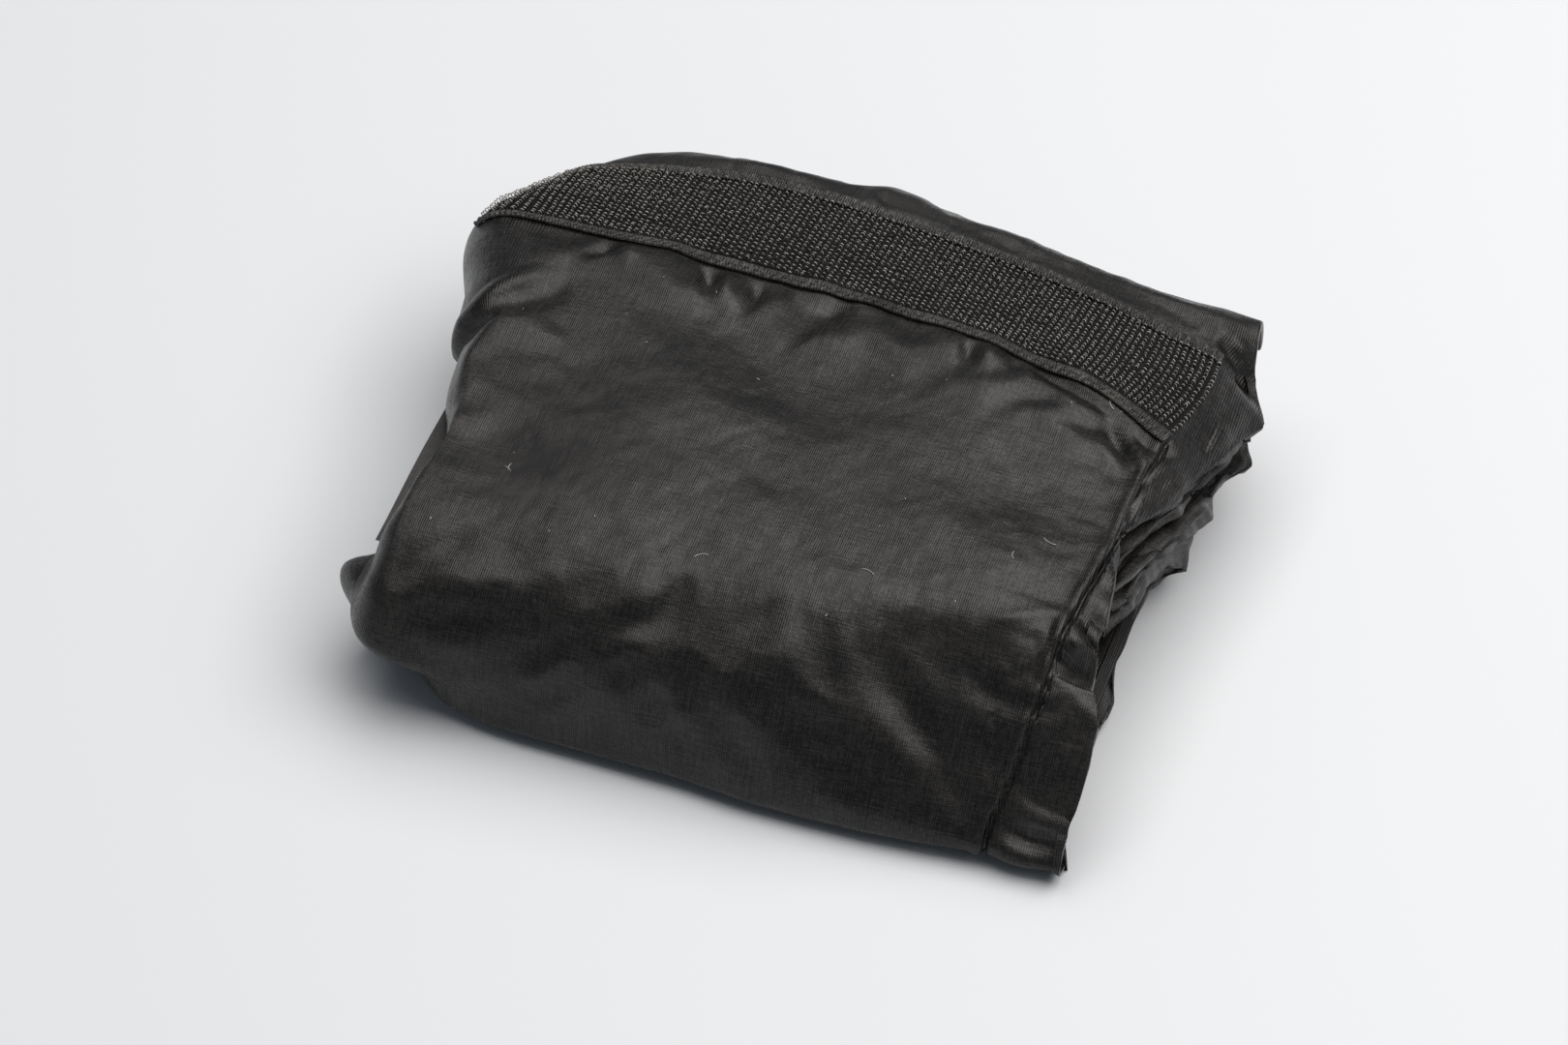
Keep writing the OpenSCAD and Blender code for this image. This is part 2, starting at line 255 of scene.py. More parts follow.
def along(points, p):
    """Distance from p to a polyline, and how far along it (0 to 1) the nearest point lies."""
    points = np.asarray(points, float)
    best = np.full(len(p), 1e9)
    where = np.zeros(len(p))
    lengths = np.linalg.norm(np.diff(points, axis=0), axis=1)
    total, done = lengths.sum(), 0.0
    for a, b, length in zip(points[:-1], points[1:], lengths):
        d = (b - a) / length
        t = np.clip((p - a) @ d, 0, length)
        off = p - a - t[:, None] * d
        dist = np.linalg.norm(off, axis=1)
        closer = dist < best
        best[closer] = dist[closer]
        where[closer] = ((done + t) / total)[closer]
        done += length
    return best, where


# ---- Materials -----------------------------------------------------------------------------------


class Nodes:
    """A short way to build a material's node tree."""

    def __init__(self, name):
        self.material = bpy.data.materials.new(name)
        self.material.use_nodes = True
        self.tree = self.material.node_tree
        self.shader = self.tree.nodes["Principled BSDF"]

    def add(self, kind, **values):
        node = self.tree.nodes.new(kind)
        for key, value in values.items():
            if hasattr(node, key):
                setattr(node, key, value)
            else:
                node.inputs[key.replace("_", " ")].default_value = value
        return node

    def link(self, a, b):
        self.tree.links.new(a, b)

    def math(self, operation, a, b=None):
        node = self.tree.nodes.new("ShaderNodeMath")
        node.operation = operation
        for socket, value in zip(node.inputs, (a, b)):
            if value is None:
                continue
            if isinstance(value, (int, float)):
                socket.default_value = value
            else:
                self.link(value, socket)
        return node.outputs[0]

    def ramp(self, factor, low, high, at=(0.3, 0.7)):
        node = self.tree.nodes.new("ShaderNodeValToRGB")
        node.color_ramp.elements[0].position, node.color_ramp.elements[1].position = at
        node.color_ramp.elements[0].color = (*low, 1)
        node.color_ramp.elements[1].color = (*high, 1)
        self.link(factor, node.inputs[0])
        return node.outputs[0]

    def range(self, factor, low, high):
        node = self.tree.nodes.new("ShaderNodeMapRange")
        node.inputs["To Min"].default_value = low
        node.inputs["To Max"].default_value = high
        self.link(factor, node.inputs[0])
        return node.outputs[0]

    def set(self, **values):
        for key, value in values.items():
            self.shader.inputs[key.replace("_", " ")].default_value = value

    def bump(self, height, strength, distance, below=None):
        node = self.tree.nodes.new("ShaderNodeBump")
        node.inputs["Strength"].default_value = strength
        node.inputs["Distance"].default_value = distance
        self.link(height, node.inputs["Height"])
        if below is not None:
            self.link(below, node.inputs["Normal"])
        return node.outputs[0]


def woven(name, dark, light, pitch, rough, relief, specular, crumple=0.25):
    """Woven cloth: crossing threads at pitch millimetres, slub streaks along both, and soft crumpling."""
    m = Nodes(name)
    uv = m.add("ShaderNodeUVMap").outputs[0]
    parts = m.add("ShaderNodeSeparateXYZ")
    m.link(uv, parts.inputs[0])
    u = m.math("MULTIPLY", parts.outputs[0], math.pi / (pitch * MM))
    v = m.math("MULTIPLY", parts.outputs[1], math.pi / (pitch * MM))
    over = m.math("MULTIPLY", m.math("SINE", m.math("ADD", u, v)), m.math("SINE", m.math("SUBTRACT", u, v)))
    warp = m.math("ABSOLUTE", m.math("SINE", u))
    weft = m.math("ABSOLUTE", m.math("SINE", v))
    height = m.math("ADD", m.math("MULTIPLY", m.math("ADD", warp, weft), 0.5), m.math("MULTIPLY", over, 0.6))

    def streaks(scale, detail):
        stretch = m.add("ShaderNodeMapping")
        stretch.inputs["Scale"].default_value = scale
        m.link(uv, stretch.inputs[0])
        noise = m.add("ShaderNodeTexNoise", Scale=1.0, Detail=detail, Roughness=0.65)
        m.link(stretch.outputs[0], noise.inputs["Vector"])
        return noise.outputs["Fac"]

    along, across = streaks((110, 2300, 1), 3.0), streaks((2300, 110, 1), 3.0)
    place = m.add("ShaderNodeTexCoord").outputs["Object"]
    cloud = m.add("ShaderNodeTexNoise", Scale=70.0, Detail=6.0, Roughness=0.68)
    m.link(place, cloud.inputs["Vector"])
    grain = m.add("ShaderNodeTexNoise", Scale=1500.0, Detail=2.0, Roughness=0.7)
    m.link(place, grain.inputs["Vector"])
    mix = m.math("ADD", m.math("ADD", along, across), m.math("ADD", cloud.outputs["Fac"], grain.outputs["Fac"]))
    mix = m.math("MULTIPLY", mix, 0.25)
    tone = m.math("ADD", m.math("MULTIPLY", m.math("SUBTRACT", mix, 0.5), 4.5), m.math("MULTIPLY", height, 0.42))
    m.link(m.ramp(tone, dark, light, (0.05, 0.62)), m.shader.inputs["Base Color"])
    gloss = m.add("ShaderNodeMapRange")
    m.link(tone, gloss.inputs[0])
    gloss.inputs["From Min"].default_value, gloss.inputs["From Max"].default_value = 0.05, 0.6
    gloss.inputs["To Min"].default_value, gloss.inputs["To Max"].default_value = rough[1], rough[0]
    m.link(gloss.outputs[0], m.shader.inputs["Roughness"])
    dents = m.add("ShaderNodeTexNoise", Scale=140.0, Detail=4.0, Roughness=0.55)
    m.link(place, dents.inputs["Vector"])
    wide = m.bump(dents.outputs["Fac"], crumple, 0.0012)
    slubs = m.bump(m.math("ADD", m.math("ADD", along, across), grain.outputs["Fac"]), relief * 0.45, 0.0003, wide)
    fine = m.bump(height, relief, 0.00009, slubs)
    m.link(fine, m.shader.inputs["Normal"])
    m.set(Specular_IOR_Level=specular)
    return m.material


def plain(name, dark, light, rough, metallic=0.0, scale=900.0, strength=0.15, specular=0.5):
    """Solid stuff such as enamelled metal, filament or thread, with fine wear as noise in its colour, roughness and
    bumps; on the hook filament the pale end of that colour is painted glints.
    """
    m = Nodes(name)
    place = m.add("ShaderNodeTexCoord").outputs["Object"]
    noise = m.add("ShaderNodeTexNoise", Scale=scale, Detail=4.0, Roughness=0.6)
    m.link(place, noise.inputs["Vector"])
    m.link(m.ramp(noise.outputs["Fac"], dark, light), m.shader.inputs["Base Color"])
    m.link(m.range(noise.outputs["Fac"], rough[0], rough[1]), m.shader.inputs["Roughness"])
    m.link(m.bump(noise.outputs["Fac"], strength, 0.00005), m.shader.inputs["Normal"])
    m.set(Metallic=metallic, Specular_IOR_Level=specular)
    return m.material


NYLON = woven("black_satin_nylon", (0.0004, 0.0004, 0.0005), (0.024, 0.0226, 0.021), 0.43, (0.2, 0.4), 0.38, 0.31)
UNDER = woven("coated_nylon_back", (0.006, 0.006, 0.0063), (0.012, 0.012, 0.0125), 0.43, (0.5, 0.62), 0.4, 0.6)
LINING = woven("matt_lining_nylon", (0.008, 0.008, 0.0085), (0.015, 0.015, 0.016), 0.3, (0.5, 0.65), 0.4, 0.5)
TAPE = woven("woven_tape", (0.0004, 0.0004, 0.0004), (0.004, 0.004, 0.004), 0.5, (0.45, 0.6), 0.8, 0.15, 0.1)
SELVEDGES = woven("ribbed_selvedge", (0.0004, 0.0004, 0.0004), (0.075, 0.072, 0.068), 0.68, (0.3, 0.5), 1.0, 0.5, 0.1)
# The hook filament's pale colour, spread at random by noise, is painted glints: bright specks that stand in for
# highlights on black hooks.
FILAMENT_PAINTED_GLINTS = plain("hook_filament_painted_glints", (0.001, 0.001, 0.001), (0.42, 0.405, 0.385), (0.12, 0.3), scale=1300, specular=0.8)
COIL = plain("zip_coil", (0.010, 0.010, 0.011), (0.018, 0.018, 0.019), (0.28, 0.4))
METAL = plain("black_enamel", (0.012, 0.012, 0.013), (0.03, 0.03, 0.032), (0.22, 0.4), metallic=0.2)
THREAD = plain("black_thread", (0.008, 0.008, 0.009), (0.016, 0.016, 0.017), (0.45, 0.6), scale=3000)
LINT = plain("pale_lint", (0.35, 0.34, 0.32), (0.6, 0.58, 0.55), (0.6, 0.8))
ELASTIC = plain("ribbed_elastic", (0.008, 0.008, 0.008), (0.018, 0.018, 0.018), (0.6, 0.75), scale=2500, strength=0.3)
LOOPS = plain("loop_pile", (0.010, 0.010, 0.011), (0.022, 0.022, 0.023), (0.55, 0.7), scale=2000)

# ---- The bundle's shape --------------------------------------------------------------------------

Y_FRONT = -65.2
X_LEFT = -78.4
# Height of the slit under the top third, and the least height of the low cloths.
SLIT = 22.5
OFF_GROUND = 0.2

# Right-hand free edge of the top sheet, from the front to the back: y, x and height.
EDGE_Y = (-66, -61, -58.7, -54.4, -50.9, -48.4, -44.4, -41, -37.7, -32, -24, -17, -9.6, -6, -1.7, 6.4,
          15.6, 25.2, 33, 41.3, 44, 50, 55, 60)
EDGE_X = (68.2, 68.8, 69.1, 68.8, 68.5, 68.7, 66.5, 64.9, 65.4, 64.9, 63.9, 62.7, 62.0, 62.4, 63.4, 67,
          69.3, 71.4, 73, 76.5, 74.6, 71.2, 70.4, 69.8)
EDGE_Z = (9, 14, 20, 23, 25, 28, 29, 31, 34, 35, 36, 36, 36, 35.4, 34.6, 33, 31, 29.2, 27.4, 25.5, 26.4, 31, 34.6,
          37)
SEAM_Y = (-66, -63, -62, -56, -44, -36, -23, -10, 6, 16, 24, 34, 44, 60)
SEAM_X = (52, 52.6, 53.4, 55, 57.4, 58.4, 60.0, 60.9, 61.2, 61.6, 63.2, 65, 64.4, 62)
CREST_X = (-86, -80, -73, -66, -55, -42, -28, -17, -11, -5, 4, 19, 40, 61, 71)
CREST_Y = (44, 50, 57.5, 65, 70.8, 70.8, 70.2, 71.8, 74.6, 73.8, 70.4, 67.0, 63.6, 61.4, 61.0)

broad = waves(3, 62)
middling = waves(8, 26)
small = waves(21, 11)


def seam_x(y):
    return np.interp(y, SEAM_Y, SEAM_X)


def edge_x(y):
    return np.interp(y, EDGE_Y, EDGE_X)


def crest_y(x):
    return through(CREST_X, CREST_Y, x)


def roof(x, y):
    """Height of the bundle's top at (x, y), before its edges are rounded."""
    z = 40.4 - 1.5 * (x / 79) ** 2
    z = z + 2.6 * np.exp(-(((y - 60) / 14) ** 2) - ((x + 18) / 52) ** 2)
    z = z - 1.2 * smooth_step((-y - 15) / 45)
    z = z - 1.1 * np.exp(-(((x + 58) / 22) ** 2) - ((y + 10) / 34) ** 2)
    edge = np.interp(y, EDGE_Y, EDGE_Z)
    past = np.clip((x - seam_x(y)) / np.maximum(edge_x(y) - seam_x(y), 1), 0, 1)
    shaped = np.where(y < -48, 36.5, edge)
    z = z - 1.3 * smooth_step((x - 40) / 22)
    return z + (shaped - z) * past**1.15


def left_bulge(y, z):
    """How far the left-hand end stands out from its plain line."""
    back = 11.0 * np.exp(-(((y - 42) / 21) ** 2))
    step = 2.4 * smooth_step((y - 9) / 4) * smooth_step((30 - y) / 16)
    waist = -8.6 * np.exp(-(((y + 30) / 19) ** 2)) * smooth_step((z - 17) / 7)
    corner = 5.2 * np.exp(-(((y + 45) / 6.5) ** 2)) * smooth_step((25 - z) / 5) * smooth_step((z - 3) / 14)
    return back + step + waist + corner


def front_sag(x, z):
    """How far the front fold spreads out over the ground."""
    return (-0.4 + 3.0 * smooth_step((x + 60) / 115)) * np.exp(-(((z - 2.5) / 8) ** 2))


def rounded(q):
    """Moves points from the plain box's surface onto the rounded bundle."""
    x, y, z = q[:, 0], q[:, 1], q[:, 2]
    top = roof(x, y)
    right = smooth_step((x + 45) / 100)
    r_front = 24 + 8 * right
    front = smooth_step((Y_FRONT + r_front - y) / r_front)
    crest = crest_y(x)
    behind = smooth_step((y - crest + 10) / 10)
    left = smooth_step((-x - 60) / 18)
    low = smooth_step((24 - z) / 12)
    r_left = 9 + 2 * front + 31 * low * smooth_step((-y - 44) / 14) * smooth_step((24 - z) / 12)
    r_back = 7.0 + 2 * left
    weight = front**2 + 0.6 * left**2 + behind**2 + 0.05
    r_top = ((28 + 4 * right) * front**2 + 12 * 0.6 * left**2 + 7 * behind**2 + 12 * 0.05) / weight
    r_low = 4.5 + 9.0 * left * smooth_step((-y - 42) / 16)
    bulge = np.where(y < 0, 2.0 - 0.75 * right, 2.0)[:, None]
    core = np.stack([
        np.maximum(x, X_LEFT + r_left),
        np.clip(y, Y_FRONT + r_front, crest - r_back),
        np.clip(z, r_low, top - r_top),
    ], -1)
    d = q - core
    reach = np.stack([
        r_left,
        np.where(d[:, 1] < 0, r_front, r_back),
        np.where(d[:, 2] > 0, r_top, r_low),
    ], -1)
    unit = np.tan(np.clip(d / reach, -1, 1) * math.pi / 4)
    power = np.where(unit[:, 2:] > 0, bulge, 2.0)
    size = (np.abs(unit) ** power).sum(1, keepdims=True) ** (1 / power)
    unit = unit / np.maximum(size, 1e-9)
    p = core + unit * reach
    p[:, 0] -= left_bulge(p[:, 1], p[:, 2]) * np.maximum(-unit[:, 0], 0)
    p[:, 1] -= front_sag(p[:, 0], p[:, 2]) * smooth_step((-30 - p[:, 1]) / 25)
    return p


# Creases of the top sheet: a polyline in the row frame, its height (a valley is negative) and its
# half-width. A crease marked sharp has straight sides.
SOFT, SHARP = 0, 1
TOP_CREASES = [
    ([(-57, 38.5, 40), (-58, 35, 40), (-61, 31.5, 40)], -2.0, 1.8, SOFT),
    ([(-53, 38, 40), (-52, 31, 40)], 1.0, 2.0, SOFT),
    ([(-36.5, 37.5, 40), (-34.5, 29, 40)], -2.8, 1.7, SOFT),
    ([(-32, 37, 40), (-31, 27, 40)], 1.3, 1.8, SOFT),
    ([(-26, 36.5, 40), (-25, 30, 40), (-26, 25, 40)], -1.6, 1.5, SOFT),
    ([(-21, 35, 40), (-20, 29, 40)], 0.45, 2.0, SOFT),
    ([(-10, 35, 40), (-11, 28, 40)], -0.5, 1.8, SOFT),
    ([(2, 33, 40), (4, 22, 40)], 0.5, 3.0, SOFT),
    ([(18.5, 33.5, 40), (20, 24, 40)], -2.2, 1.6, SOFT),
    ([(23.5, 32, 40), (24, 24, 40)], 1.1, 1.6, SOFT),
    ([(27.5, 31.5, 40), (29.5, 25.5, 40)], -1.9, 1.3, SOFT),
    ([(33, 28, 40), (37, 26.5, 40), (42, 24.5, 39), (50, 21.5, 39), (57, 20.5, 38)], -2.3, 1.7, SOFT),
    ([(33, 24.5, 39), (40, 21.5, 39), (48, 17.5, 38)], 1.3, 1.6, SOFT),
    ([(50.5, 18, 38), (54, 14.5, 38), (58, 8.5, 37)], -2.8, 1.6, SOFT),
    ([(54, 18, 38), (58, 13.5, 38), (59.5, 9, 37)], 1.2, 1.3, SOFT),
    ([(49, 15, 38), (52, 10, 38), (56, 6, 38)], 0.6, 1.3, SOFT),
    ([(-64, 20, 38), (-70, 14, 37), (-76, 9, 34), (-80, 7, 28)], -2.5, 3.0, SHARP),
    ([(-66, 24, 38), (-73, 18, 36), (-79, 13, 31), (-81, 12, 26)], 2.2, 2.4, SHARP),
    ([(-60, -12, 39), (-70, -22, 38)], 0.5, 5.0, SOFT),
    ([(-48, 14, 39), (-38, -6, 39), (-34, -22, 38)], 0.45, 7.0, SOFT),
    ([(-20, 20, 40), (-8, 2, 40), (-2, -18, 40)], -0.45, 6.0, SOFT),
    ([(8, 14, 40), (18, -6, 40), (24, -22, 39)], 0.4, 6.5, SOFT),
    ([(30, 8, 39), (40, -4, 39), (44, -20, 39)], -0.45, 5.0, SOFT),
    ([(-76, -44, 30), (-66, -50, 33), (-56, -54, 33), (-46, -58, 31)], 0.9, 4.0, SOFT),
    ([(-70, -57, 24), (-60, -58, 27), (-50, -60, 26)], -0.7, 4.0, SOFT),
    ([(-40, -62, 22), (-34, -54, 36), (-30, -42, 39)], -0.9, 5.0, SOFT),
    ([(-24, -62, 22), (-20, -55, 34), (-18, -46, 38)], 0.7, 5.0, SOFT),
    ([(-10, -61, 22), (-6, -55, 33), (-4, -46, 38)], -0.9, 5.0, SOFT),
    ([(6, -62, 14), (8, -57, 30), (12, -48, 37)], 1.0, 6.0, SOFT),
    ([(24, -62, 20), (26, -56, 33), (30, -48, 37)], -0.8, 5.0, SOFT),
    ([(36, -63, 8), (38, -60, 24), (40, -54, 33)], 0.6, 5.0, SOFT),
    ([(41, -57, 30), (46, -59, 28), (51, -58, 28), (54, -56, 30)], -1.3, 1.6, SOFT),
    ([(42, -53, 33), (47, -55, 31), (53, -53, 32)], 0.9, 1.8, SOFT),
    ([(46, -38, 38), (52, -35, 38), (57, -33, 38)], 0.7, 1.6, SOFT),
    ([(48, -41, 38), (55, -40, 37)], -0.8, 1.6, SOFT),
    ([(40, -46, 37), (52, -48, 36)], 0.4, 3.0, SOFT),
    ([(60.5, -20, 37), (65, -22, 35)], 0.72, 1.8, SHARP),
    ([(60.5, -27, 37), (66, -29, 34)], 1, 2.3, SHARP),
    ([(59, -31, 36), (63, -33.5, 35), (66, -36, 32)], -1.8, 2.1, SHARP),
    ([(58.5, -36, 36), (62, -39, 35), (65.5, -40, 33)], 1.9, 2.2, SHARP),
    ([(58.5, -41, 35), (63, -44.5, 33), (68, -46, 30)], -1.4, 1.7, SHARP),
    ([(58, -44, 35), (63, -48, 32), (68.5, -50, 28)], 1.8, 2.2, SHARP),
    ([(57, -47, 34), (61, -53, 29), (67, -55.5, 24)], -1.9, 2.5, SHARP),
    ([(56, -53, 31), (62, -57, 25), (69, -59, 20)], 1.6, 2, SHARP),
    ([(55, -57, 27), (61, -60, 21), (68, -61.5, 16)], -1.8, 2.1, SHARP),
    ([(54, -61, 17), (59, -63, 14), (64, -63.5, 13), (68, -63, 12)], 1.6, 1.8, SHARP),
    ([(54, -63, 10), (60, -64.5, 9), (67, -64, 9)], -1.4, 1.8, SHARP),
    ([(53, -64, 6), (57, -65.5, 5), (62, -66, 4)], 1.4, 2.1, SHARP),
    ([(-82, -52, 21), (-76, -60, 12), (-68, -63, 6)], 0.9, 3.0, SOFT),
    ([(-62, -63, 8), (-50, -63.5, 12), (-36, -63, 14)], 0.5, 5.0, SOFT),
    ([(-20, -63, 6), (0, -63.5, 9), (22, -63.5, 6)], 0.6, 4.5, SOFT),
    ([(-45, 64, 42), (-20, 66.5, 42), (-8, 66, 42)], 0.4, 2.5, SOFT),
    ([(-12, 67, 42), (-7, 61, 43)], -0.9, 2.0, SOFT),
    ([(10, 64, 41), (24, 60, 40)], 0.5, 2.2, SOFT),
    ([(34, 59, 39), (52, 54, 38), (60, 50, 38)], -0.6, 2.0, SOFT),
    ([(46, 57, 38), (62, 54, 37), (71, 55, 36)], 0.7, 2.2, SOFT),
    ([(62, 48.5, 37), (68, 46.5, 34), (73, 46, 29)], -2.6, 2.2, SHARP),
    ([(66, 51, 37), (70, 50, 34)], 1.0, 1.8, SHARP),
    ([(61, -6, 36), (64, 2, 36), (66, 12, 35), (69, 26, 33), (72, 36, 31)], 0.9, 2.0, SHARP),
    ([(61.5, -1, 36), (64, 8, 35), (66, 18, 33)], -0.9, 1.6, SHARP),
    ([(63, 20, 36), (66, 22, 34), (69, 30, 32)], -0.9, 1.5, SHARP),
]


def crease_field(p, creases):
    """How far the creases lift or lower each point."""
    lift = np.zeros(len(p))
    for points, height, width, sharp in creases:
        near, where = along(points, p)
        taper = np.sin(math.pi * (0.10 + 0.80 * where)) ** 0.8
        form = np.clip(1 - near / (1.6 * width), 0, 1) if sharp else np.exp(-((near / width) ** 2))
        lift += height * taper * form
    return lift


TAPE_FRONT = [(-83, 40.2), (-75.5, 39.9), (-60.1, 38.7), (-43.6, 37.6), (-27.2, 36.6), (-9, 35.6), (7.7, 33.6),
              (25, 30.4), (42.5, 26), (61.6, 17.6)]
TAPE_BACK = [(-78, 52.0), (-65.4, 57.7), (-51.3, 60.4), (-35.5, 61.1), (-17.1, 60.3), (1.5, 58.4), (20.5, 55.6),
             (40.1, 51.6), (55, 47.8), (65.8, 45.6)]


def tape_at(s, t):
    """Point in plan at s along the tape, t across it; both from 0 to 1."""
    out = []
    for line in (np.array(TAPE_FRONT), np.array(TAPE_BACK)):
        at = distances(line)
        out.append(np.stack([through(at, line[:, k], np.asarray(s) * at[-1]) for k in (0, 1)], -1))
    t = np.asarray(t)[..., None]
    place = out[0] * (1 - t) + out[1] * t
    place[..., 0] += 2.0 * np.sin(math.pi * t[..., 0]) * smooth_step((np.asarray(s) - 0.8) / 0.2)
    return place


def cloth_lift(p):
    """How far the top sheet stands off its plain rounded form."""
    swell = 0.55 * broad(p) + 0.28 * middling(p) + 0.06 * small(p)
    front = np.interp(p[:, 0], *zip(*TAPE_FRONT))
    back = np.interp(p[:, 0], *zip(*TAPE_BACK))
    outside = np.maximum(np.maximum(front - p[:, 1], p[:, 1] - back), 0)
    under_tape = np.exp(-((outside / 2.2) ** 2)) * (p[:, 2] > 30) * (p[:, 0] < 69)
    return swell * (1 - 0.8 * under_tape) + crease_field(p, TOP_CREASES) * (1 - 0.9 * under_tape)


# ---- The outer sheet: over the top, round the left end and the front fold --------------------------

ACROSS_AT = np.concatenate([np.linspace(0, 0.955, 76), 0.955 + 0.045 * np.linspace(0, 1, 10)[1:]])
ACROSS = len(ACROSS_AT)
BAND_AT = np.linspace(0, 1, 15)[1:, None]
# Points from front to back, down to the slit, from there to the ground, and round or under a corner.
DEPTH, HIGH, LOW, RETURN = 72, 13, 15, 11
UNDER_REACH = 20
LIP_DROP = 9
# The cloth simulation works at this many metres to the millimetre.
SIM_SCALE = 0.01


def columns(y_cloth, y_band):
    """Positions across the sheet: cloth up to the seam at depth y_cloth, its allowance at y_band."""
    seam, edge = seam_x(y_band), edge_x(y_band)
    return np.concatenate([X_LEFT + ACROSS_AT[:, None] * (seam_x(y_cloth) - X_LEFT), seam + BAND_AT * (edge - seam)])


def hemmed(verts, faces, uv, on_edge):
    """Turns the cloth under along the free edges whose points are on_edge."""
    edges = {}
    for face in faces.tolist():
        for i in range(4):
            a, b = face[i], face[(i + 1) % 4]
            if a != b:
                edges.setdefault((min(a, b), max(a, b)), []).append((a, b))
    free = [v[0] for v in edges.values() if len(v) == 1 and on_edge[v[0][0]] and on_edge[v[0][1]]]
    ids = sorted({q for e in free for q in e})
    place = {q: k for k, q in enumerate(ids)}
    n = vertex_normals(verts, faces)[ids]
    start = verts[ids]
    inward = np.array([-1.0, 0, 0]) + n * n[:, :1]
    inward /= np.maximum(np.linalg.norm(inward, axis=1, keepdims=True), 1e-6)
    rings = [start + inward * 0.15 - n * 0.75, start + inward * 3.0 - n * 1.3]
    count = len(verts)
    more = []
    for a, b in free:
        a1, b1 = count + place[a], count + place[b]
        a2, b2 = a1 + len(ids), b1 + len(ids)
        more += [[b, a, a1, b1], [b1, a1, a2, b2]]
    uv_more = [uv[ids] + np.array([0.8, 0]), uv[ids] + np.array([3.6, 0])]
    return (np.concatenate([verts] + rings), np.concatenate([faces, np.array(more)]),
            np.concatenate([uv] + uv_more))


def outer_sheet():
    """Points, faces and uv of the outer sheet, before creasing."""
    verts, faces, uvs = [], [], []

    def add(x, y, z, u, v, flip):
        """Adds a face of the plain box, moved onto the rounded bundle."""
        q = np.stack([x, y, z], -1)
        p = rounded(q.reshape(-1, 3)).reshape(q.shape)
        put(p, u + 0 * x, v + 0 * x, flip)
        return p

    def put(p, u, v, flip):
        """Adds a grid of points as it stands."""
        start = sum(len(w) for w in verts)
        verts.append(p.reshape(-1, 3))
        uvs.append(np.stack([u, v], -1).reshape(-1, 2))
        faces.append(grid_faces(p.shape[0], p.shape[1], start, flip))

    depth = np.linspace(0, 1, DEPTH)
    drop_high = np.linspace(0, 1, HIGH)
    drop_low = np.linspace(0, 1, LOW)
    back = np.linspace(0, 1, RETURN)
    crest_left = crest_y(np.array([X_LEFT]))[0]

    # Top.
    y = (Y_FRONT + depth * (60 - Y_FRONT))[None]
    x = columns(y, y)
    for _ in range(3):
        y = Y_FRONT + depth[None] * (crest_y(x) - Y_FRONT)
        x = columns(y[:ACROSS], y[ACROSS:])
    add(x, y, roof(x, y), x, y, False)

    # Front, from the top's edge down to the ground.
    y_front = np.array([[Y_FRONT]])
    x_front = columns(y_front, y_front)
    levels = np.concatenate([drop_high, 1 + drop_low[1:]])[None]
    top_front = roof(x_front, np.full_like(x_front, Y_FRONT))
    z = np.where(levels <= 1, top_front + (SLIT - top_front) * levels, SLIT * (2 - levels))
    x = x_front + 0 * z
    add(x, Y_FRONT + 0 * x, z, x, Y_FRONT - (40 - z), True)

    # Left end, down to the slit below the top third, and turned in there.
    B, C = np.meshgrid(depth, drop_high, indexing="ij")
    y = Y_FRONT + B * (crest_left - Y_FRONT)
    start = roof(np.full_like(y, X_LEFT), y)
    z = start + (SLIT - start) * C
    add(X_LEFT + 0 * y, y, z, X_LEFT - (40 - z), y, False)

    # The front fold's return round the left-hand corner, below the slit.
    B, C = np.meshgrid(back, drop_low, indexing="ij")
    y = Y_FRONT + B * UNDER_REACH
    z = SLIT * (1 - C)
    ear = add(X_LEFT + 0 * y, y, z, X_LEFT - (y - Y_FRONT), Y_FRONT - (40 - z), False)
    k = np.linspace(0, 1, 6)[:, None, None]
    inner = ear[-1][None] + k * np.array([15.0, 1.5, -1.0]) + np.sqrt(k) * np.array([0, 0.8, 0])
    lid = ear[:, 0][None] + k * np.array([12.0, 0.5, -1.6]) + np.sin(k * math.pi) * np.array([0, 0, 0.5])
    lid = np.concatenate([lid, inner[:, 0][:, None]], 1)
    put(lid, X_LEFT - UNDER_REACH + 0 * lid[..., 0], Y_FRONT - (40 - lid[..., 2]) - 2, False)
    put(inner, X_LEFT - UNDER_REACH - 15 * k[..., 0] + 0 * inner[..., 0], Y_FRONT - (40 - inner[..., 2]), False)

    # Under the front edge.
    x = x_front + 0 * back[None]
    y = Y_FRONT + back[None] * UNDER_REACH + 0 * x
    add(x, y, 0 * x, x, Y_FRONT - 40 - (y - Y_FRONT), True)

    # Back lip, from the crest down towards the mouth.
    y = np.array([[58.0]])
    x = columns(y, y)
    for _ in range(3):
        y = crest_y(x)
        x = columns(y[:ACROSS], y[ACROSS:])
    y = crest_y(x)
    start = roof(x, y)
    z = start - LIP_DROP * np.linspace(0, 1, 10)[None]
    add(x + 0 * z, y + 0 * z, z, x, y + (start - z), False)

    return np.concatenate(verts), np.concatenate(faces), np.concatenate(uvs)


raw, quads, cloth_uv = outer_sheet()
raw, quads, cloth_uv = weld(raw, quads, cloth_uv, 0.02)
raw, quads, cloth_uv = hemmed(raw, quads, cloth_uv, raw[:, 0] > np.minimum(edge_x(raw[:, 1]), 70) - 2.5)


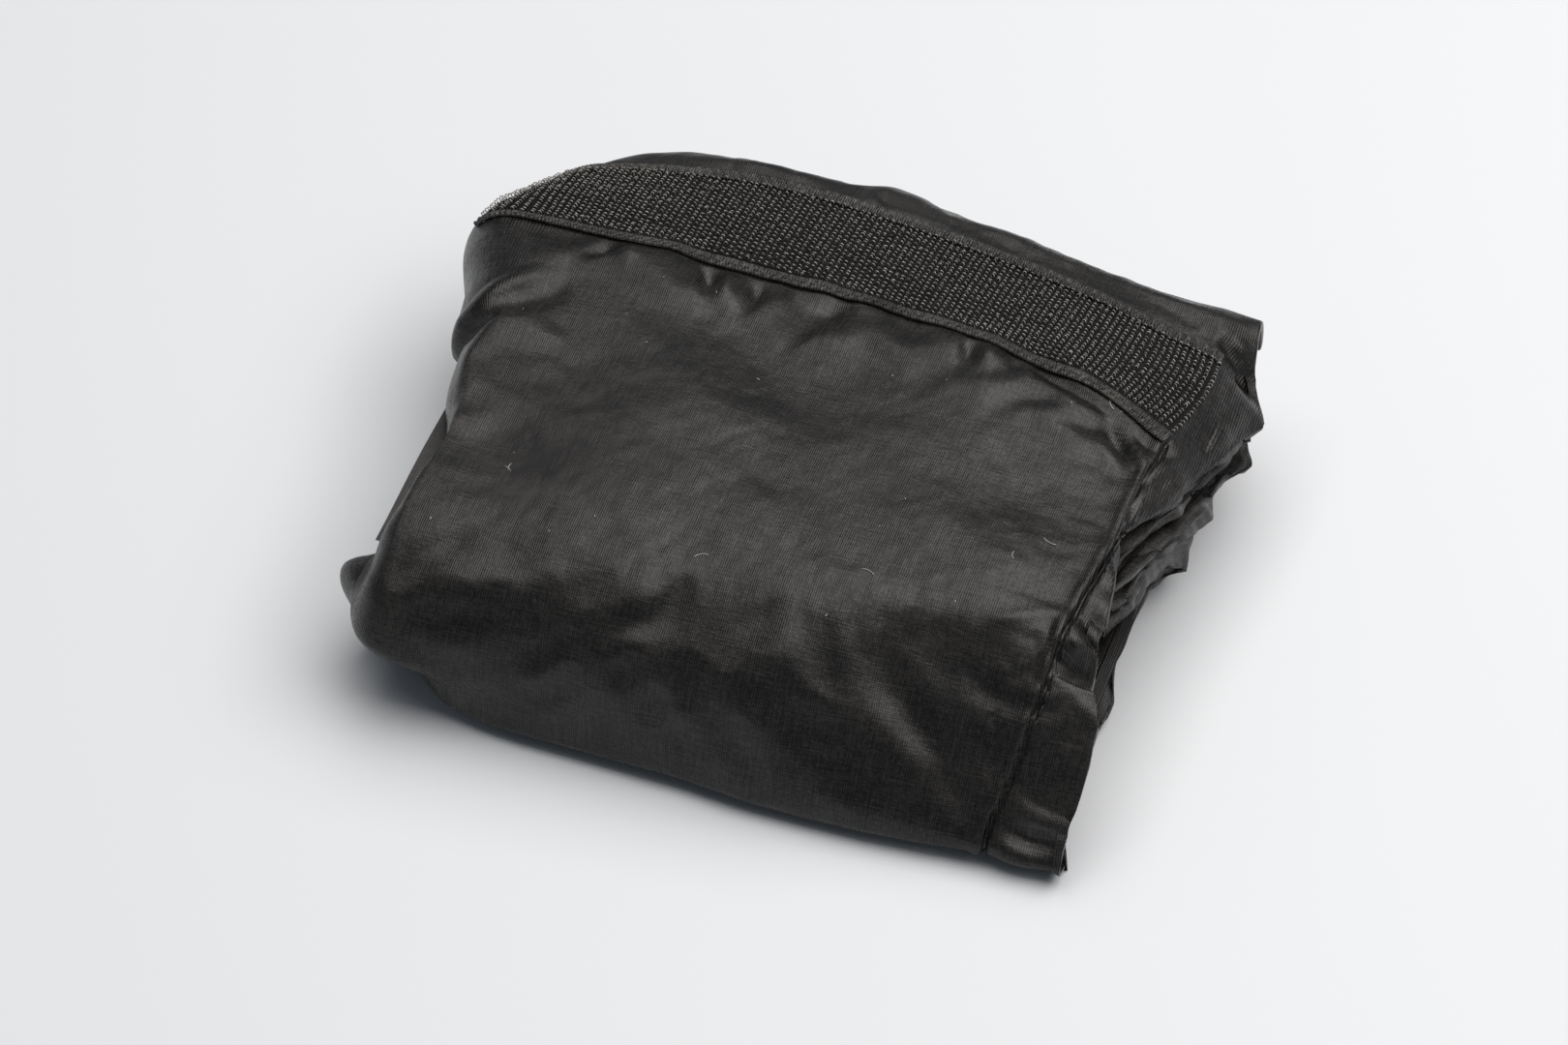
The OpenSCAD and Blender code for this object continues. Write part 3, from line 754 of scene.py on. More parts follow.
def buckled(verts, faces, hold, slack, growth, frames):
    """Cloth simulation: the sheet grows a little while soft pins hold it near its place, so it
    buckles into small folds of its own. hold is each point's pin weight, and slack says how far
    its growth goes from the first to the second of growth."""
    scene = bpy.context.scene
    obj = placed("simulated_sheet", mesh_of("simulated_sheet", verts * SIM_SCALE, faces))
    for name, weight in (("hold", hold), ("slack", slack)):
        group = obj.vertex_groups.new(name=name)
        weight = np.round(weight, 2)
        for value in np.unique(weight):
            group.add(np.nonzero(weight == value)[0].tolist(), float(value), "REPLACE")
    cloth = obj.modifiers.new("cloth", "CLOTH")
    cloth.settings.quality = 6
    cloth.settings.mass = 0.2
    cloth.settings.tension_stiffness = cloth.settings.compression_stiffness = 40
    cloth.settings.shear_stiffness = 10
    cloth.settings.bending_stiffness = 1.5
    cloth.settings.air_damping = 3
    cloth.settings.vertex_group_mass = "hold"
    cloth.settings.pin_stiffness = 1.0
    cloth.settings.vertex_group_shrink = "slack"
    cloth.settings.shrink_min, cloth.settings.shrink_max = -growth[0], -growth[1]
    cloth.settings.effector_weights.gravity = 0
    cloth.point_cache.frame_start, cloth.point_cache.frame_end = 1, frames
    scene.frame_start, scene.frame_end = 1, frames
    for f in range(1, frames + 1):
        scene.frame_set(f)
    done = obj.evaluated_get(bpy.context.evaluated_depsgraph_get())
    out = np.empty(len(verts) * 3)
    done.data.vertices.foreach_get("co", out)
    scene.frame_set(1)
    bpy.data.objects.remove(obj)
    return out.reshape(-1, 3) / SIM_SCALE


def subdivided(verts, faces, uv):
    """One Catmull-Clark step: finer points, faces and uv."""
    obj = placed("coarse", mesh_of("coarse", verts, faces, uv))
    step = obj.modifiers.new("finer", "SUBSURF")
    step.levels = step.render_levels = 1
    done = obj.evaluated_get(bpy.context.evaluated_depsgraph_get()).data
    out = np.empty(len(done.vertices) * 3)
    done.vertices.foreach_get("co", out)
    quads = np.empty(len(done.loops), int)
    done.loops.foreach_get("vertex_index", quads)
    flat = np.empty(len(done.loops) * 2)
    done.uv_layers[0].data.foreach_get("uv", flat)
    fine_uv = np.zeros((len(done.vertices), 2))
    fine_uv[quads] = flat.reshape(-1, 2)
    bpy.data.objects.remove(obj)
    return out.reshape(-1, 3), quads.reshape(-1, 4), fine_uv


settled = raw
tape_y = np.interp(raw[:, 0], *zip(*TAPE_FRONT))
slack = np.exp(-(((raw[:, 1] - tape_y + 4) / 9) ** 2)) * (raw[:, 2] > 30)
slack = np.maximum(slack, smooth_step((raw[:, 0] - seam_x(raw[:, 1]) + 6) / 8))
slack = np.maximum(slack, np.exp(-(((raw[:, 0] + 76) / 14) ** 2 + ((raw[:, 1] - 10) / 16) ** 2)))
slack = np.maximum(slack, 0.75 * np.exp(-(((raw[:, 1] + 62) / 12) ** 2)))
hold = 0.12 + 0.3 * (1 - smooth_step(slack * 3)) * (raw[:, 1] > -48)
settled = buckled(raw, quads, hold, slack, (0.012, 0.08), 30)
fine_raw, fine_quads, fine_uv = subdivided(raw, quads, cloth_uv)
fine_settled, _, _ = subdivided(settled, quads, cloth_uv)
raw, quads, cloth_uv = fine_raw, fine_quads, fine_uv
normals = vertex_normals(fine_settled, quads)
skin = fine_settled + normals * cloth_lift(raw)[:, None]

# The seam stands up as a narrow ridge with a ditch beside it.
ridge = skin[:, 0] - seam_x(raw[:, 1])
strength = (skin[:, 2] > 0.5) * (skin[:, 1] < 19)
step = 0.5 * np.exp(-(((ridge + 0.9) / 1.2) ** 2)) - 1.25 * np.exp(-(((ridge - 0.5) / 0.5) ** 2))
skin += normals * (strength * step)[:, None]
# The edge is kept near its line, which draws in towards the lower sheet's edge near the ground.
low_line = np.interp(skin[:, 1], (-63, -60, -53, -42), (67.4, 65.4, 62.5, 61.0))
near_ground = smooth_step((17 - skin[:, 2]) / 9)
line = edge_x(skin[:, 1]) + 0.2 + (low_line - edge_x(skin[:, 1]) - 0.2) * near_ground
skin[:, 0] -= 0.9 * np.maximum(skin[:, 0] - line, 0)
skin[:, 2] = np.maximum(skin[:, 2], 0.15)
cloth_tree = BVHTree.FromPolygons(skin.tolist(), quads.tolist())

outer = make("outer_sheet", skin, quads, NYLON, uv=cloth_uv)
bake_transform(outer)
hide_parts("outer_rear_panel_top", "side_seam_top", "front_fold_outer")


def on_cloth(x, y):
    """Point and normal of the bundle's top where a ray from inside, through (x, y), leaves it."""
    shoulder = -68.0
    centre = Vector((max(x, shoulder), min(y, 56.0), 26.0))
    turn = max(shoulder - x, 0) / 12.0
    fall = max(y - 56.0, 0) / 16.0
    aim = Vector((-math.sin(turn), math.sin(fall) * math.cos(turn), math.cos(turn) * math.cos(fall)))
    hit, normal, _, _ = cloth_tree.ray_cast(centre, aim)
    if hit is None:
        return np.array([x, y, 40.0]), np.array([0, 0, 1.0])
    n = np.array(normal)
    return np.array(hit), n if n @ np.array(aim) > 0 else -n


def seam_path(y0, y1, offset, n=160):
    """Points and normals on the cloth beside the side seam."""
    points, norms = [], []
    for y in np.linspace(y0, y1, n):
        above = Vector((float(min(seam_x(y) + offset, edge_x(y) - 0.7)), float(y), 90))
        hit, normal, _, _ = cloth_tree.ray_cast(above, Vector((0, 0, -1)))
        if hit is not None:
            points.append(np.array(hit))
            norms.append(np.array(normal) * np.sign(normal[2]))
    return np.array(points), np.array(norms)


seam_thread = stitches(seam_path(-52, 15, 1.4), TOP, "side_seam_stitches", lift=0.08)
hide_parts("side_seam_thread")

# ---- Right-hand end: the accordion of folds and the lower sheet's edge -----------------------------

R1 = [(61, -6.3, 34.6), (63.1, -1.7, 34), (67.0, 6.4, 32.5), (69.3, 15.6, 30.5), (71.4, 25.2, 28.6), (73, 33, 26.8),
      (76.2, 41, 25), (74, 46, 25), (69, 56, 26)]
R2 = [(62.9, -14.7, 35.2), (63.8, -7.7, 33.4), (65.7, 2.4, 31), (68.2, 11.1, 28.7), (69.4, 19.5, 26), (70.8, 27.4, 24),
      (72.2, 36.1, 22), (74.4, 41, 20.5), (73, 46, 21), (68, 56, 23)]
R3 = [(64, -20.4, 33.8), (65.7, -13.8, 32), (67.4, -4.8, 30), (69.1, 4.1, 27.4), (70.5, 15.9, 23.5), (70.8, 24.1, 20.5),
      (71.5, 33, 17), (73.6, 40.5, 14), (72, 46, 15), (67, 56, 17)]
R4 = [(64, -24, 32), (65.5, -19, 30.5), (66.2, -11.2, 29), (66.6, -3.2, 27.2), (68, 3.6, 24.2), (69, 10.6, 21.2),
      (69.8, 17.6, 17), (70.8, 27, 12.8), (69, 33, 11), (66, 54, 12)]
R5 = [(64.5, -30, 31), (65.6, -23, 29.6), (66.5, -18, 28), (65.5, -9, 24), (66, -1, 20), (67, 6.6, 16.8),
      (68.4, 16.4, 7), (66, 24, 6.5), (64, 52, 7)]
LOW_RIDGE = [(68.4, 17.5, 6), (65.4, 12.3, 8), (63.4, 6.4, 9.5), (63.4, -1.3, 9.5), (62.2, -10.7, 5), (64.2, -19.3, 3),
             (63.4, -32.6, 2.2), (63.0, -41.8, 3), (65.0, -53.3, 2.4), (67.4, -62.0, 1)]
LOW_INNER = [(63, 17.5, 12), (63.0, 12, 13.5), (62.4, 6, 14), (62, 1.3, 14), (61, -7.6, 12), (60.6, -13.2, 9),
             (62, -21.4, 6), (61.6, -32, 6), (61.2, -41, 7.5), (62, -50, 6), (63, -60, 4)]


def shifted(curve, dx, dy, dz):
    """A curve moved by an offset that grows from its first point and eases off at its last."""
    c = resampled(curve, 40)
    w = 0.3 + 0.7 * np.sin(np.linspace(0.1, 0.93, 40) * math.pi)[:, None]
    return c + np.array([dx, dy, dz]) * w


def fold_rows(name, curves, body, seed, between=6):
    """Crumpled cloth that runs from each curve to the next."""
    P = crumpled(loft(curves, 110, between), (waves(seed, 17), 0.5), (waves(seed + 1, 7), 0.16))
    P[..., 2] = np.maximum(P[..., 2], OFF_GROUND)
    return grid(name, P, NYLON, body, "outer_nylon")


folds_top = fold_rows("side_folds_upper", [
    shifted(R1, -1.5, 0, 0.6), R1, shifted(R1, -4.5, 0, -1.0), R2, shifted(R2, -4.5, 0, -1.0), shifted(R3, -6, 0, 1.2),
], TOP, 31)
folds_base = fold_rows("side_folds_lower", [
    shifted(R3, -7, 0, 1.6), R3, shifted(R3, -4.5, 0, -1.0), R4, shifted(R4, -4.5, 0, -1.0),
    R5, shifted(R5, -4.5, 0, -1.0), shifted(R5, -9, 0, -3),
], BASE, 35)
lower_edge = fold_rows("lower_sheet_allowance", [
    [(x - 9, y, max(z - 3, 1.0)) for x, y, z in LOW_INNER],
    LOW_INNER, [(x - 0.5, y, z + 0.2) for x, y, z in LOW_RIDGE], LOW_RIDGE,
    [(x - 2.5, y, max(z - 1.2, 0.3)) for x, y, z in LOW_RIDGE], [(x - 12, y, 0.4) for x, y, z in LOW_RIDGE],
], BASE, 39, between=5)
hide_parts("side_seam_base")

# ---- Slabs: base and middle thirds ----------------------------------------------------------------


def slab(lo, hi, reach, back):
    """A rounded cushion shape open at the right: under, back, top, left and front faces.
    reach is the size of its rounding along each axis, and back the one behind."""
    step = 1.7
    lo, hi = np.array(lo, float), np.array(hi, float)
    nx, ny, nz = (max(4, int((hi[k] - lo[k]) / step)) for k in range(3))
    X, Y, Z = (np.linspace(lo[k], hi[k], n) for k, n in zip(range(3), (nx, ny, nz)))
    verts, faces, uvs = [], [], []

    def face(a, b, build, flip):
        A, B = np.meshgrid(a, b, indexing="ij")
        q = build(A, B)
        start = sum(len(v) for v in verts)
        verts.append(q.reshape(-1, 3))
        uvs.append(np.stack([A, B], -1).reshape(-1, 2))
        faces.append(grid_faces(len(a), len(b), start, flip))

    face(X, Y, lambda a, b: np.stack([a, b, 0 * a + hi[2]], -1), False)
    face(X, Y, lambda a, b: np.stack([a, b, 0 * a + lo[2]], -1), True)
    face(X, Z, lambda a, b: np.stack([a, 0 * a + hi[1], b], -1), True)
    face(X, Z, lambda a, b: np.stack([a, 0 * a + lo[1], b], -1), False)
    face(Y, Z, lambda a, b: np.stack([0 * a + lo[0], a, b], -1), True)
    q, f, uv = weld(np.concatenate(verts), np.concatenate(faces), np.concatenate(uvs), 0.01)
    r = np.array(reach, float)
    ry = np.where(q[:, 1] > (lo[1] + hi[1]) / 2, back, r[1])
    core = np.stack([
        np.maximum(q[:, 0], lo[0] + r[0]),
        np.clip(q[:, 1], lo[1] + r[1], hi[1] - back),
        np.clip(q[:, 2], lo[2] + r[2], hi[2] - r[2]),
    ], -1)
    scale = np.stack([0 * ry + r[0], ry, 0 * ry + r[2]], -1)
    unit = np.tan(np.clip((q - core) / scale, -1, 1) * math.pi / 4)
    unit /= np.maximum(np.linalg.norm(unit, axis=1, keepdims=True), 1e-9)
    return core + unit * scale, f, uv


def soft_slab(name, lo, hi, reach, back, swell, groove):
    """A slab's cloth, a little uneven, with a groove round its left-hand end at height groove."""
    p, f, uv = slab(lo, hi, reach, back)
    lift = swell * (0.6 * waves(50, 55)(p) + 0.35 * waves(51, 20)(p) + 0.1 * waves(52, 9)(p)) - swell
    side = smooth_step((lo[0] + 16 - p[:, 0]) / 14)
    lift -= 5.0 * side * np.exp(-(((p[:, 2] - groove) / 1.7) ** 2))
    p = p + vertex_normals(p, f) * lift[:, None]
    p[:, 2] = np.maximum(p[:, 2], OFF_GROUND)
    return make(name, p, f, NYLON, BASE, uv, slot="outer_nylon")


base_skin = soft_slab("base_and_middle_wrap", (-77, -51, 0), (60, 59.5, 20.6), (7, 4, 10.2), 10, 0.45, 10.3)
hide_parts("outer_rear_panel_base")


def turned_sheet(y0, y1, x0, x1, z, gap, seed):
    """A sheet lying against itself: in at the lower level, round a turn at y1, and back above it."""
    t = np.linspace(0, 1, 60)
    turn = np.linspace(-math.pi / 2, math.pi / 2, 9)[1:-1]
    low = np.stack([y0 + (y1 - y0) * t, z - gap + 0 * t], -1)
    bend = np.stack([y1 + gap * np.cos(turn), z + gap * np.sin(turn)], -1)
    high = np.stack([y1 + (y0 - y1) * t, z + gap + 0 * t], -1)
    path = np.concatenate([low, bend, high])
    P = lattice(np.linspace(x0, x1, 70)[:, None], path[:, 0], path[:, 1])
    P[..., 2] += 0.5 * ripple(P, seed, 30)
    P[..., 1] += 0.8 * ripple(P, seed + 1, 40)
    return P


front_panel = grid("front_panel_between_thirds", turned_sheet(-54, 50, -74, 63, 10.1, 0.9, 60), UNDER, BASE,
                   "outer_nylon")
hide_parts("outer_front_panel_base")


def serpentine(a, b, z0, z1, runs=3, n=44):
    """Path of cloth folded to and fro between a and b, rising from z0 to z1: (across, height)."""
    pitch = (z1 - z0) / runs
    r = pitch / 2 * 0.85
    path = []
    for k in range(runs):
        z = z0 + pitch * (k + 0.5)
        t = np.linspace(0, 1, n)
        ends = (a, b) if k % 2 == 0 else (b, a)
        path += [(ends[0] + (ends[1] - ends[0]) * q, z) for q in t]
        if k < runs - 1:
            way = 1 if k % 2 == 0 else -1
            for angle in np.linspace(-math.pi / 2, math.pi / 2, 8)[1:-1]:
                path.append((ends[1] + way * r * math.cos(angle), z + pitch / 2 + pitch / 2 * math.sin(angle)))
    return np.array(path)


def lining_pack(name, x0, x1, y0, y1, z0, z1, body, seed):
    """One third's share of the inner bag, folded in three across the bundle and a little slack."""
    path = serpentine(x0, x1, z0, z1)
    P = lattice(path[:, :1], np.linspace(y0, y1, 60), path[:, 1:])
    pitch = (z1 - z0) / 3
    P[..., 2] += 0.16 * pitch * ripple(P, seed, 24)
    P[..., 0] += 1.2 * ripple(P, seed + 1, 45)
    P[..., 1] += 1.0 * ripple(P, seed + 2, 50)
    return grid(name, P, LINING, body, "lining_nylon")


for node, name, x0, x1, y0, y1, z0, z1, body, seed in (
    ("lining_base", "lining_pack_base", -70, 60, -52, 45, 1.6, 8.4, BASE, 70),
    ("lining_middle", "lining_pack_middle", -69, 59, -48, 45, 11.8, 18.8, BASE, 74),
    ("lining_top", "lining_pack_top", -68, 59, -33, 18, 28.0, 34.6, TOP, 78),
):
    pack = lining_pack(name, x0, x1, y0, y1, z0, z1, body, seed)
    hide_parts(node)

# ---- Underside of the top third, the mouth's lips and the front fold's inner turn ------------------

X = np.linspace(-76.5, 61, 90)
path = [(y, 26.2) for y in np.linspace(-45, 55, 60)]
path += [(56.2 + 3.2 * math.cos(a), 29.2 + 3.0 * math.sin(a)) for a in np.linspace(-math.pi / 2, 0, 8)]
path += [(59.4, 30.4)]
path = np.array(path)
P = lattice(X[:, None], path[:, 0], path[:, 1])
P[..., 2] += 0.35 * ripple(P, 83, 34) * (P[..., 1] < 54)
P[..., 2] += 1.2 * smooth_step((-70 - P[..., 0]) / 7)
under_skin = grid("top_third_under_skin", P, UNDER, TOP, "outer_nylon")
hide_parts("outer_front_panel_top")

angle = np.linspace(-math.pi / 2, math.pi / 2, 16)
X = np.linspace(-74, 64, 90)
P = lattice(X[:, None], -45.5 - 3.9 * np.cos(angle), 18.9 + 7.1 * np.sin(angle))
P[..., 1] += 0.35 * ripple(P, 85, 22) * np.cos(angle)
inner_turn = grid("front_fold_inner_turn", P, UNDER, None, "outer_nylon")
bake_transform(inner_turn)
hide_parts("front_fold_inner")


def lip(name, points, seed):
    """A hem from the mouth's edge in to the zip tape, as a grid along X."""
    points = np.array(points, float)
    X = np.linspace(-72, 60, 110)
    rows = resampled(np.c_[0 * points[:, 0], points], 14)
    P = lattice(X[:, None], rows[:, 1], rows[:, 2])
    P[:, 0, 1] = np.minimum(P[:, 0, 1], crest_y(X) - 0.8)
    P[:, 1, 1] = np.minimum(P[:, 1, 1], P[:, 0, 1] - 0.4)
    P[:, :, 1] = np.minimum(P[:, :, 1], P[:, :1, 1])
    slack = np.sin(np.linspace(0, math.pi, 14))[None]
    P[..., 2] += 0.35 * slack * ripple(P, seed, 16)
    return grid(name, P, NYLON, TOP, "outer_nylon")


upper_lip = lip("mouth_upper_lip", [(63.2, 35.6), (59.5, 35.3), (56, 36.6), (52.4, 37.4), (50.6, 37.5)], 87)
lower_lip = lip("mouth_lower_lip", [(59.4, 30.4), (57, 31.0), (54, 31.0), (52.2, 31.3), (50.6, 31.6)], 88)

# ---- Sleeves and cuffs -----------------------------------------------------------------------------

for side, word in ((-1, "left"), (1, "right")):
    path = serpentine(-44, 36.5, 20.9, 25.2, n=50)
    half = 29
    A = np.linspace(-1, 1, 50)[:, None]
    along_y, z = path[:, 0], path[:, 1]
    gather = smooth_step((along_y - 20) / 18)
    width = half * (1 - 0.18 * gather)
    P = lattice(side * 35 + A * width, along_y, z)
    ruffle = np.sin(A * 34 + side) * 0.4 * gather
    P[..., 2] += ruffle + 0.18 * ripple(P, 90 + side, 22)
    sleeve = grid(f"{word}_sleeve_cloth", P, NYLON, BASE, "outer_nylon")
    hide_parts(f"{word}_sleeve")

    def cuff(name, inset, y0, y1, material, slot, node, ruffled):
        """A flattened, gathered ring: the sleeve's end, or the elastic inside it."""
        turn = np.linspace(0, 2 * math.pi, 241)[:, None]
        ny = 16
        w, h = 23.5 - inset, 2.05 - inset
        pleat = np.sin(turn * 37 + side * 1.3) * 0.30 * ruffled
        fade = 0.45 + 0.55 * np.abs(np.linspace(-1, 1, ny))
        P = lattice(
            side * 36 + w * np.sign(np.cos(turn)) * np.abs(np.cos(turn)) ** 0.55,
            np.linspace(y0, y1, ny),
            22.9 + np.sign(np.sin(turn)) * np.abs(np.sin(turn)) ** 0.6 * (h + pleat * fade),
        )
        P[..., 1] += 0.3 * ripple(P, 95 + side, 7)
        P[-1] = P[0]
        ring = grid(name, P, material, BASE, slot)
        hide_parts(node)
        return ring

    hem = cuff(f"{word}_cuff_hem_cloth", 0.0, 38.3, 51.0, NYLON, "outer_nylon", f"{word}_cuff_hem", 1.0)
    band = cuff(f"{word}_cuff_elastic_band", 0.75, 39.4, 50.0, ELASTIC, "elastic", f"{word}_cuff_elastic", 0.5)

# ---- Hook tape -------------------------------------------------------------------------------------

TAPE_LENGTH, TAPE_WIDTH = 150.0, 25.0
SELVEDGE = 2.5 / TAPE_WIDTH


def tape_grid():
    """Points and normals of the cloth under the hook tape, smoothed: first index along, second across."""
    shape = (160, 22, 3)
    S, T = np.meshgrid(np.linspace(0, 1, shape[0]), np.linspace(0, 1, shape[1]), indexing="ij")
    xy = tape_at(S.ravel(), T.ravel())
    found = [on_cloth(float(x), float(y)) for x, y in xy]
    P, N = (np.array([f[k] for f in found]).reshape(shape) for k in (0, 1))
    for _ in range(3):
        for A in (P, N):
            A[1:-1] = (A[:-2] + 2 * A[1:-1] + A[2:]) / 4
            A[:, 1:-1] = (A[:, :-2] + 2 * A[:, 1:-1] + A[:, 2:]) / 4
    return P, N


TAPE_P, TAPE_N = tape_grid()


def on_tape(s, t):
    """Points and unit normals of the tape's underside at s along and t across."""
    s, t = np.clip(np.asarray(s, float), 0, 1), np.clip(np.asarray(t, float), 0, 1)
    a, b = s * (TAPE_P.shape[0] - 1), t * (TAPE_P.shape[1] - 1)
    i, j = np.minimum(a.astype(int), TAPE_P.shape[0] - 2), np.minimum(b.astype(int), TAPE_P.shape[1] - 2)
    fa, fb = (a - i)[..., None], (b - j)[..., None]
    out = []
    for G in (TAPE_P, TAPE_N):
        out.append(G[i, j] * (1 - fa) * (1 - fb) + G[i + 1, j] * fa * (1 - fb) + G[i, j + 1] * (1 - fa) * fb
                   + G[i + 1, j + 1] * fa * fb)
    out[1] /= np.maximum(np.linalg.norm(out[1], axis=-1, keepdims=True), 1e-9)
    return out[0], out[1]


def tape_strip(name, t0, t1, ns, nt, height, material, slot):
    """A strip of the tape with its edges turned down to the cloth; height is a function of s and t."""
    s = np.linspace(0, 1, ns)
    t = np.concatenate([[t0], np.linspace(t0, t1, nt), [t1]])
    S, T = np.meshgrid(s, t, indexing="ij")
    p, n = on_tape(S, T)
    h = height(S, T)
    h[:, 0] = h[:, -1] = 0.35 if t0 == 0 or t1 == 1 else 0.05
    h[0] = h[-1] = 0.05
    return grid(name, p + n * h[..., None], material, TOP, slot)


ground = tape_strip("hook_tape_weave", SELVEDGE, 1 - SELVEDGE, 220, 24, lambda s, t: 0.45 + 0 * s, TAPE,
                    "hook_and_loop")
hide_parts("hook_tape_ground")
RIB = 0.68


def ribbed(s, t):
    """Height of a selvedge, whose ribs run aslant across it."""
    inner = np.minimum(t, 1 - t) / SELVEDGE
    slant = s * TAPE_LENGTH / RIB + inner * 0.55
    return 0.8 + 0.38 * np.sin(2 * math.pi * slant) * np.sin(np.clip(inner, 0, 1) * math.pi) ** 0.4


ribs = 1100
front_selvedge = tape_strip("hook_tape_front_selvedge", 0.0, SELVEDGE, ribs, 6, ribbed, SELVEDGES, "hook_and_loop")
back_selvedge = tape_strip("hook_tape_back_selvedge", 1 - SELVEDGE, 1.0, ribs, 6, ribbed, SELVEDGES, "hook_and_loop")


def hook_field():
    """Cut filament loops standing in rows straight across the tape."""
    rng = np.random.default_rng(12)
    rows = int(TAPE_LENGTH / 1.35)
    per_row = 21
    foot = 0.42
    parts = []
    steps = 10
    for r in range(rows):
        s = (r + 0.6) / rows
        ahead = 1 if r % 2 == 0 else -1
        for k in range(per_row):
            t = SELVEDGE + (k + 0.5 + 0.25 * (r % 2)) / per_row * (1 - 2 * SELVEDGE)
            jitter = rng.normal(0, 0.035, 2)
            p, n = on_tape(s + jitter[0] / TAPE_LENGTH, t + jitter[1] / TAPE_WIDTH)
            q, _ = on_tape(min(s + 0.004, 1), t)
            q0, _ = on_tape(max(s - 0.004, 0), t)
            e = q - q0
            e /= max(np.linalg.norm(e), 1e-9)
            w = np.cross(n, e)
            lean = rng.normal(0, 0.16)
            height = 1.25 + rng.normal(0, 0.09)
            swing = ahead * (0.33 + rng.normal(0, 0.03))
            a = np.linspace(-0.35 * math.pi, (1.12 + rng.normal(0, 0.05)) * math.pi, steps)
            bow = np.stack([-np.cos(a) * swing, np.sin(a)], -1)
            up = foot + (height - foot) * np.clip((bow[:, 1] + 0.9) / 1.9, 0, 1)
            side = lean * (up - 0.4)
            turned = rng.normal(0, 0.12)
            e2 = e * math.cos(turned) + w * math.sin(turned)
            line = p + e2 * bow[:, :1] + n * up[:, None] + w * side[:, None]
            parts.append(tube(line, 0.115, 4))
    return bundle_of(parts)


# The hooks' material carries painted glints in its pale colour.
hooks = make("hook_tape_hook_field", *hook_field(), FILAMENT_PAINTED_GLINTS, TOP, slot="hook_and_loop")
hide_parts("hook_tape_hooks")

s_line = np.linspace(0.01, 0.99, 400)
rows = []
for t in (0.055, 0.945):
    p, n = on_tape(s_line, np.full(400, t))
    rows.append((p + n * 0.62, n))
tape_thread = stitches(rows[0], TOP, "hook_tape_front_stitches", length=2.4, gap=0.5, radius=0.15, lift=0.12)
stitches(rows[1], TOP, "hook_tape_back_stitches", length=2.4, gap=0.5, radius=0.15, lift=0.12)
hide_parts("hook_tape_thread")

# ---- Zips ------------------------------------------------------------------------------------------


def zip_tape_cloth(name, y, z0, z1, node):
    """One side of the zip's woven tape, standing upright."""
    X = np.linspace(-55.4, 55.4, 260)[:, None]
    t = np.linspace(0, 1, 8)
    P = lattice(X, y + 0.25 + 0.08 * np.sin(X * 4.2) * np.sin(t * math.pi), z0 + (z1 - z0) * t)
    strip = grid(name, P, TAPE, TOP, "zip_tape")
    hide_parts(node)
    return strip


def coil(name, y, z, phase, node):
    """One spiral of the chain, its turns drawn out towards the other one."""
    turns, half_length, middle_z = 72, 51.2, 34.4
    t = np.linspace(0, turns * 2 * math.pi, turns * (12))
    x = -half_length + 2 * half_length * t / t[-1] + phase
    inward = 1 if z < middle_z else -1
    p = np.stack([x, y + 0.85 * np.cos(t), z + inward * 0.18 + 1.18 * np.sin(t)], -1)
    spiral = make(name, *tube(p, 0.27, 5), COIL, TOP, slot="zip_coil")
    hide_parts(node)


for word, y in (("outer", 52.6), ("inner", 25.6)):
    zip_tape_cloth(f"{word}_zip_upper_tape_cloth", y, 35.1, 37.5, f"{word}_zip_upper_tape")
    zip_tape_cloth(f"{word}_zip_lower_tape_cloth", y, 31.3, 33.7, f"{word}_zip_lower_tape")
    coil(f"{word}_zip_upper_spiral", y + 1.4, 35.9, 0.0, f"{word}_zip_upper_coil")
    coil(f"{word}_zip_lower_spiral", y + 1.4, 32.9, 0.7, f"{word}_zip_lower_coil")
    for part in ("end_stops", "slider", "pull"):
        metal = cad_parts[f"{word}_zip_{part}"]
        metal.data.materials.clear()
        metal.data.materials.append(METAL)

# ---- Light flap ------------------------------------------------------------------------------------


def flap_y(x, z):
    """The flap's plane, a little wavy, and drawn in where the mouth's edge is."""
    plane = 61.0
    return plane + 0.42 * ripple(lattice(x, plane, z), 101, 46) - np.clip(60.4 - crest_y(x), 0, 3)


def flap_cloth(name, z0, z1, node, nz):
    """A length of the flap from height z0 down to z1."""
    x, z = np.meshgrid(np.linspace(-70, 65.5, 120), np.linspace(z0, z1, nz), indexing="ij")
    cloth = grid(name, lattice(x, flap_y(x, z), z), NYLON, None, "outer_nylon")
    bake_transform(cloth)
    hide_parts(node)
    return cloth


riser = flap_cloth("light_flap_upper_length", 33.5, 19.7, "light_flap_riser", 40)
tip = flap_cloth("light_flap_lower_length", 19.7, 1.4, "light_flap_tip", 50)


def pile():
    """The loop tape's matted pile: short curls over its whole face."""
    rng = np.random.default_rng(7)
    count = 2600
    parts = []
    for _ in range(count):
        x, z = rng.uniform(-68.4, 63.9), rng.uniform(2.8, 17.0)
        a0, r = rng.uniform(0, 2 * math.pi), rng.uniform(0.35, 0.7)
        a = a0 + np.linspace(0, rng.uniform(3, 5), 6)
        rise = float(flap_y(np.array(x), np.array(z))) + 1.45 + 0.35 * np.sin(np.linspace(0, math.pi, 6))
        p = np.stack([x + r * np.cos(a), rise, z + r * np.sin(a)], -1)
        parts.append(tube(p, 0.07, 3))
    return bundle_of(parts)


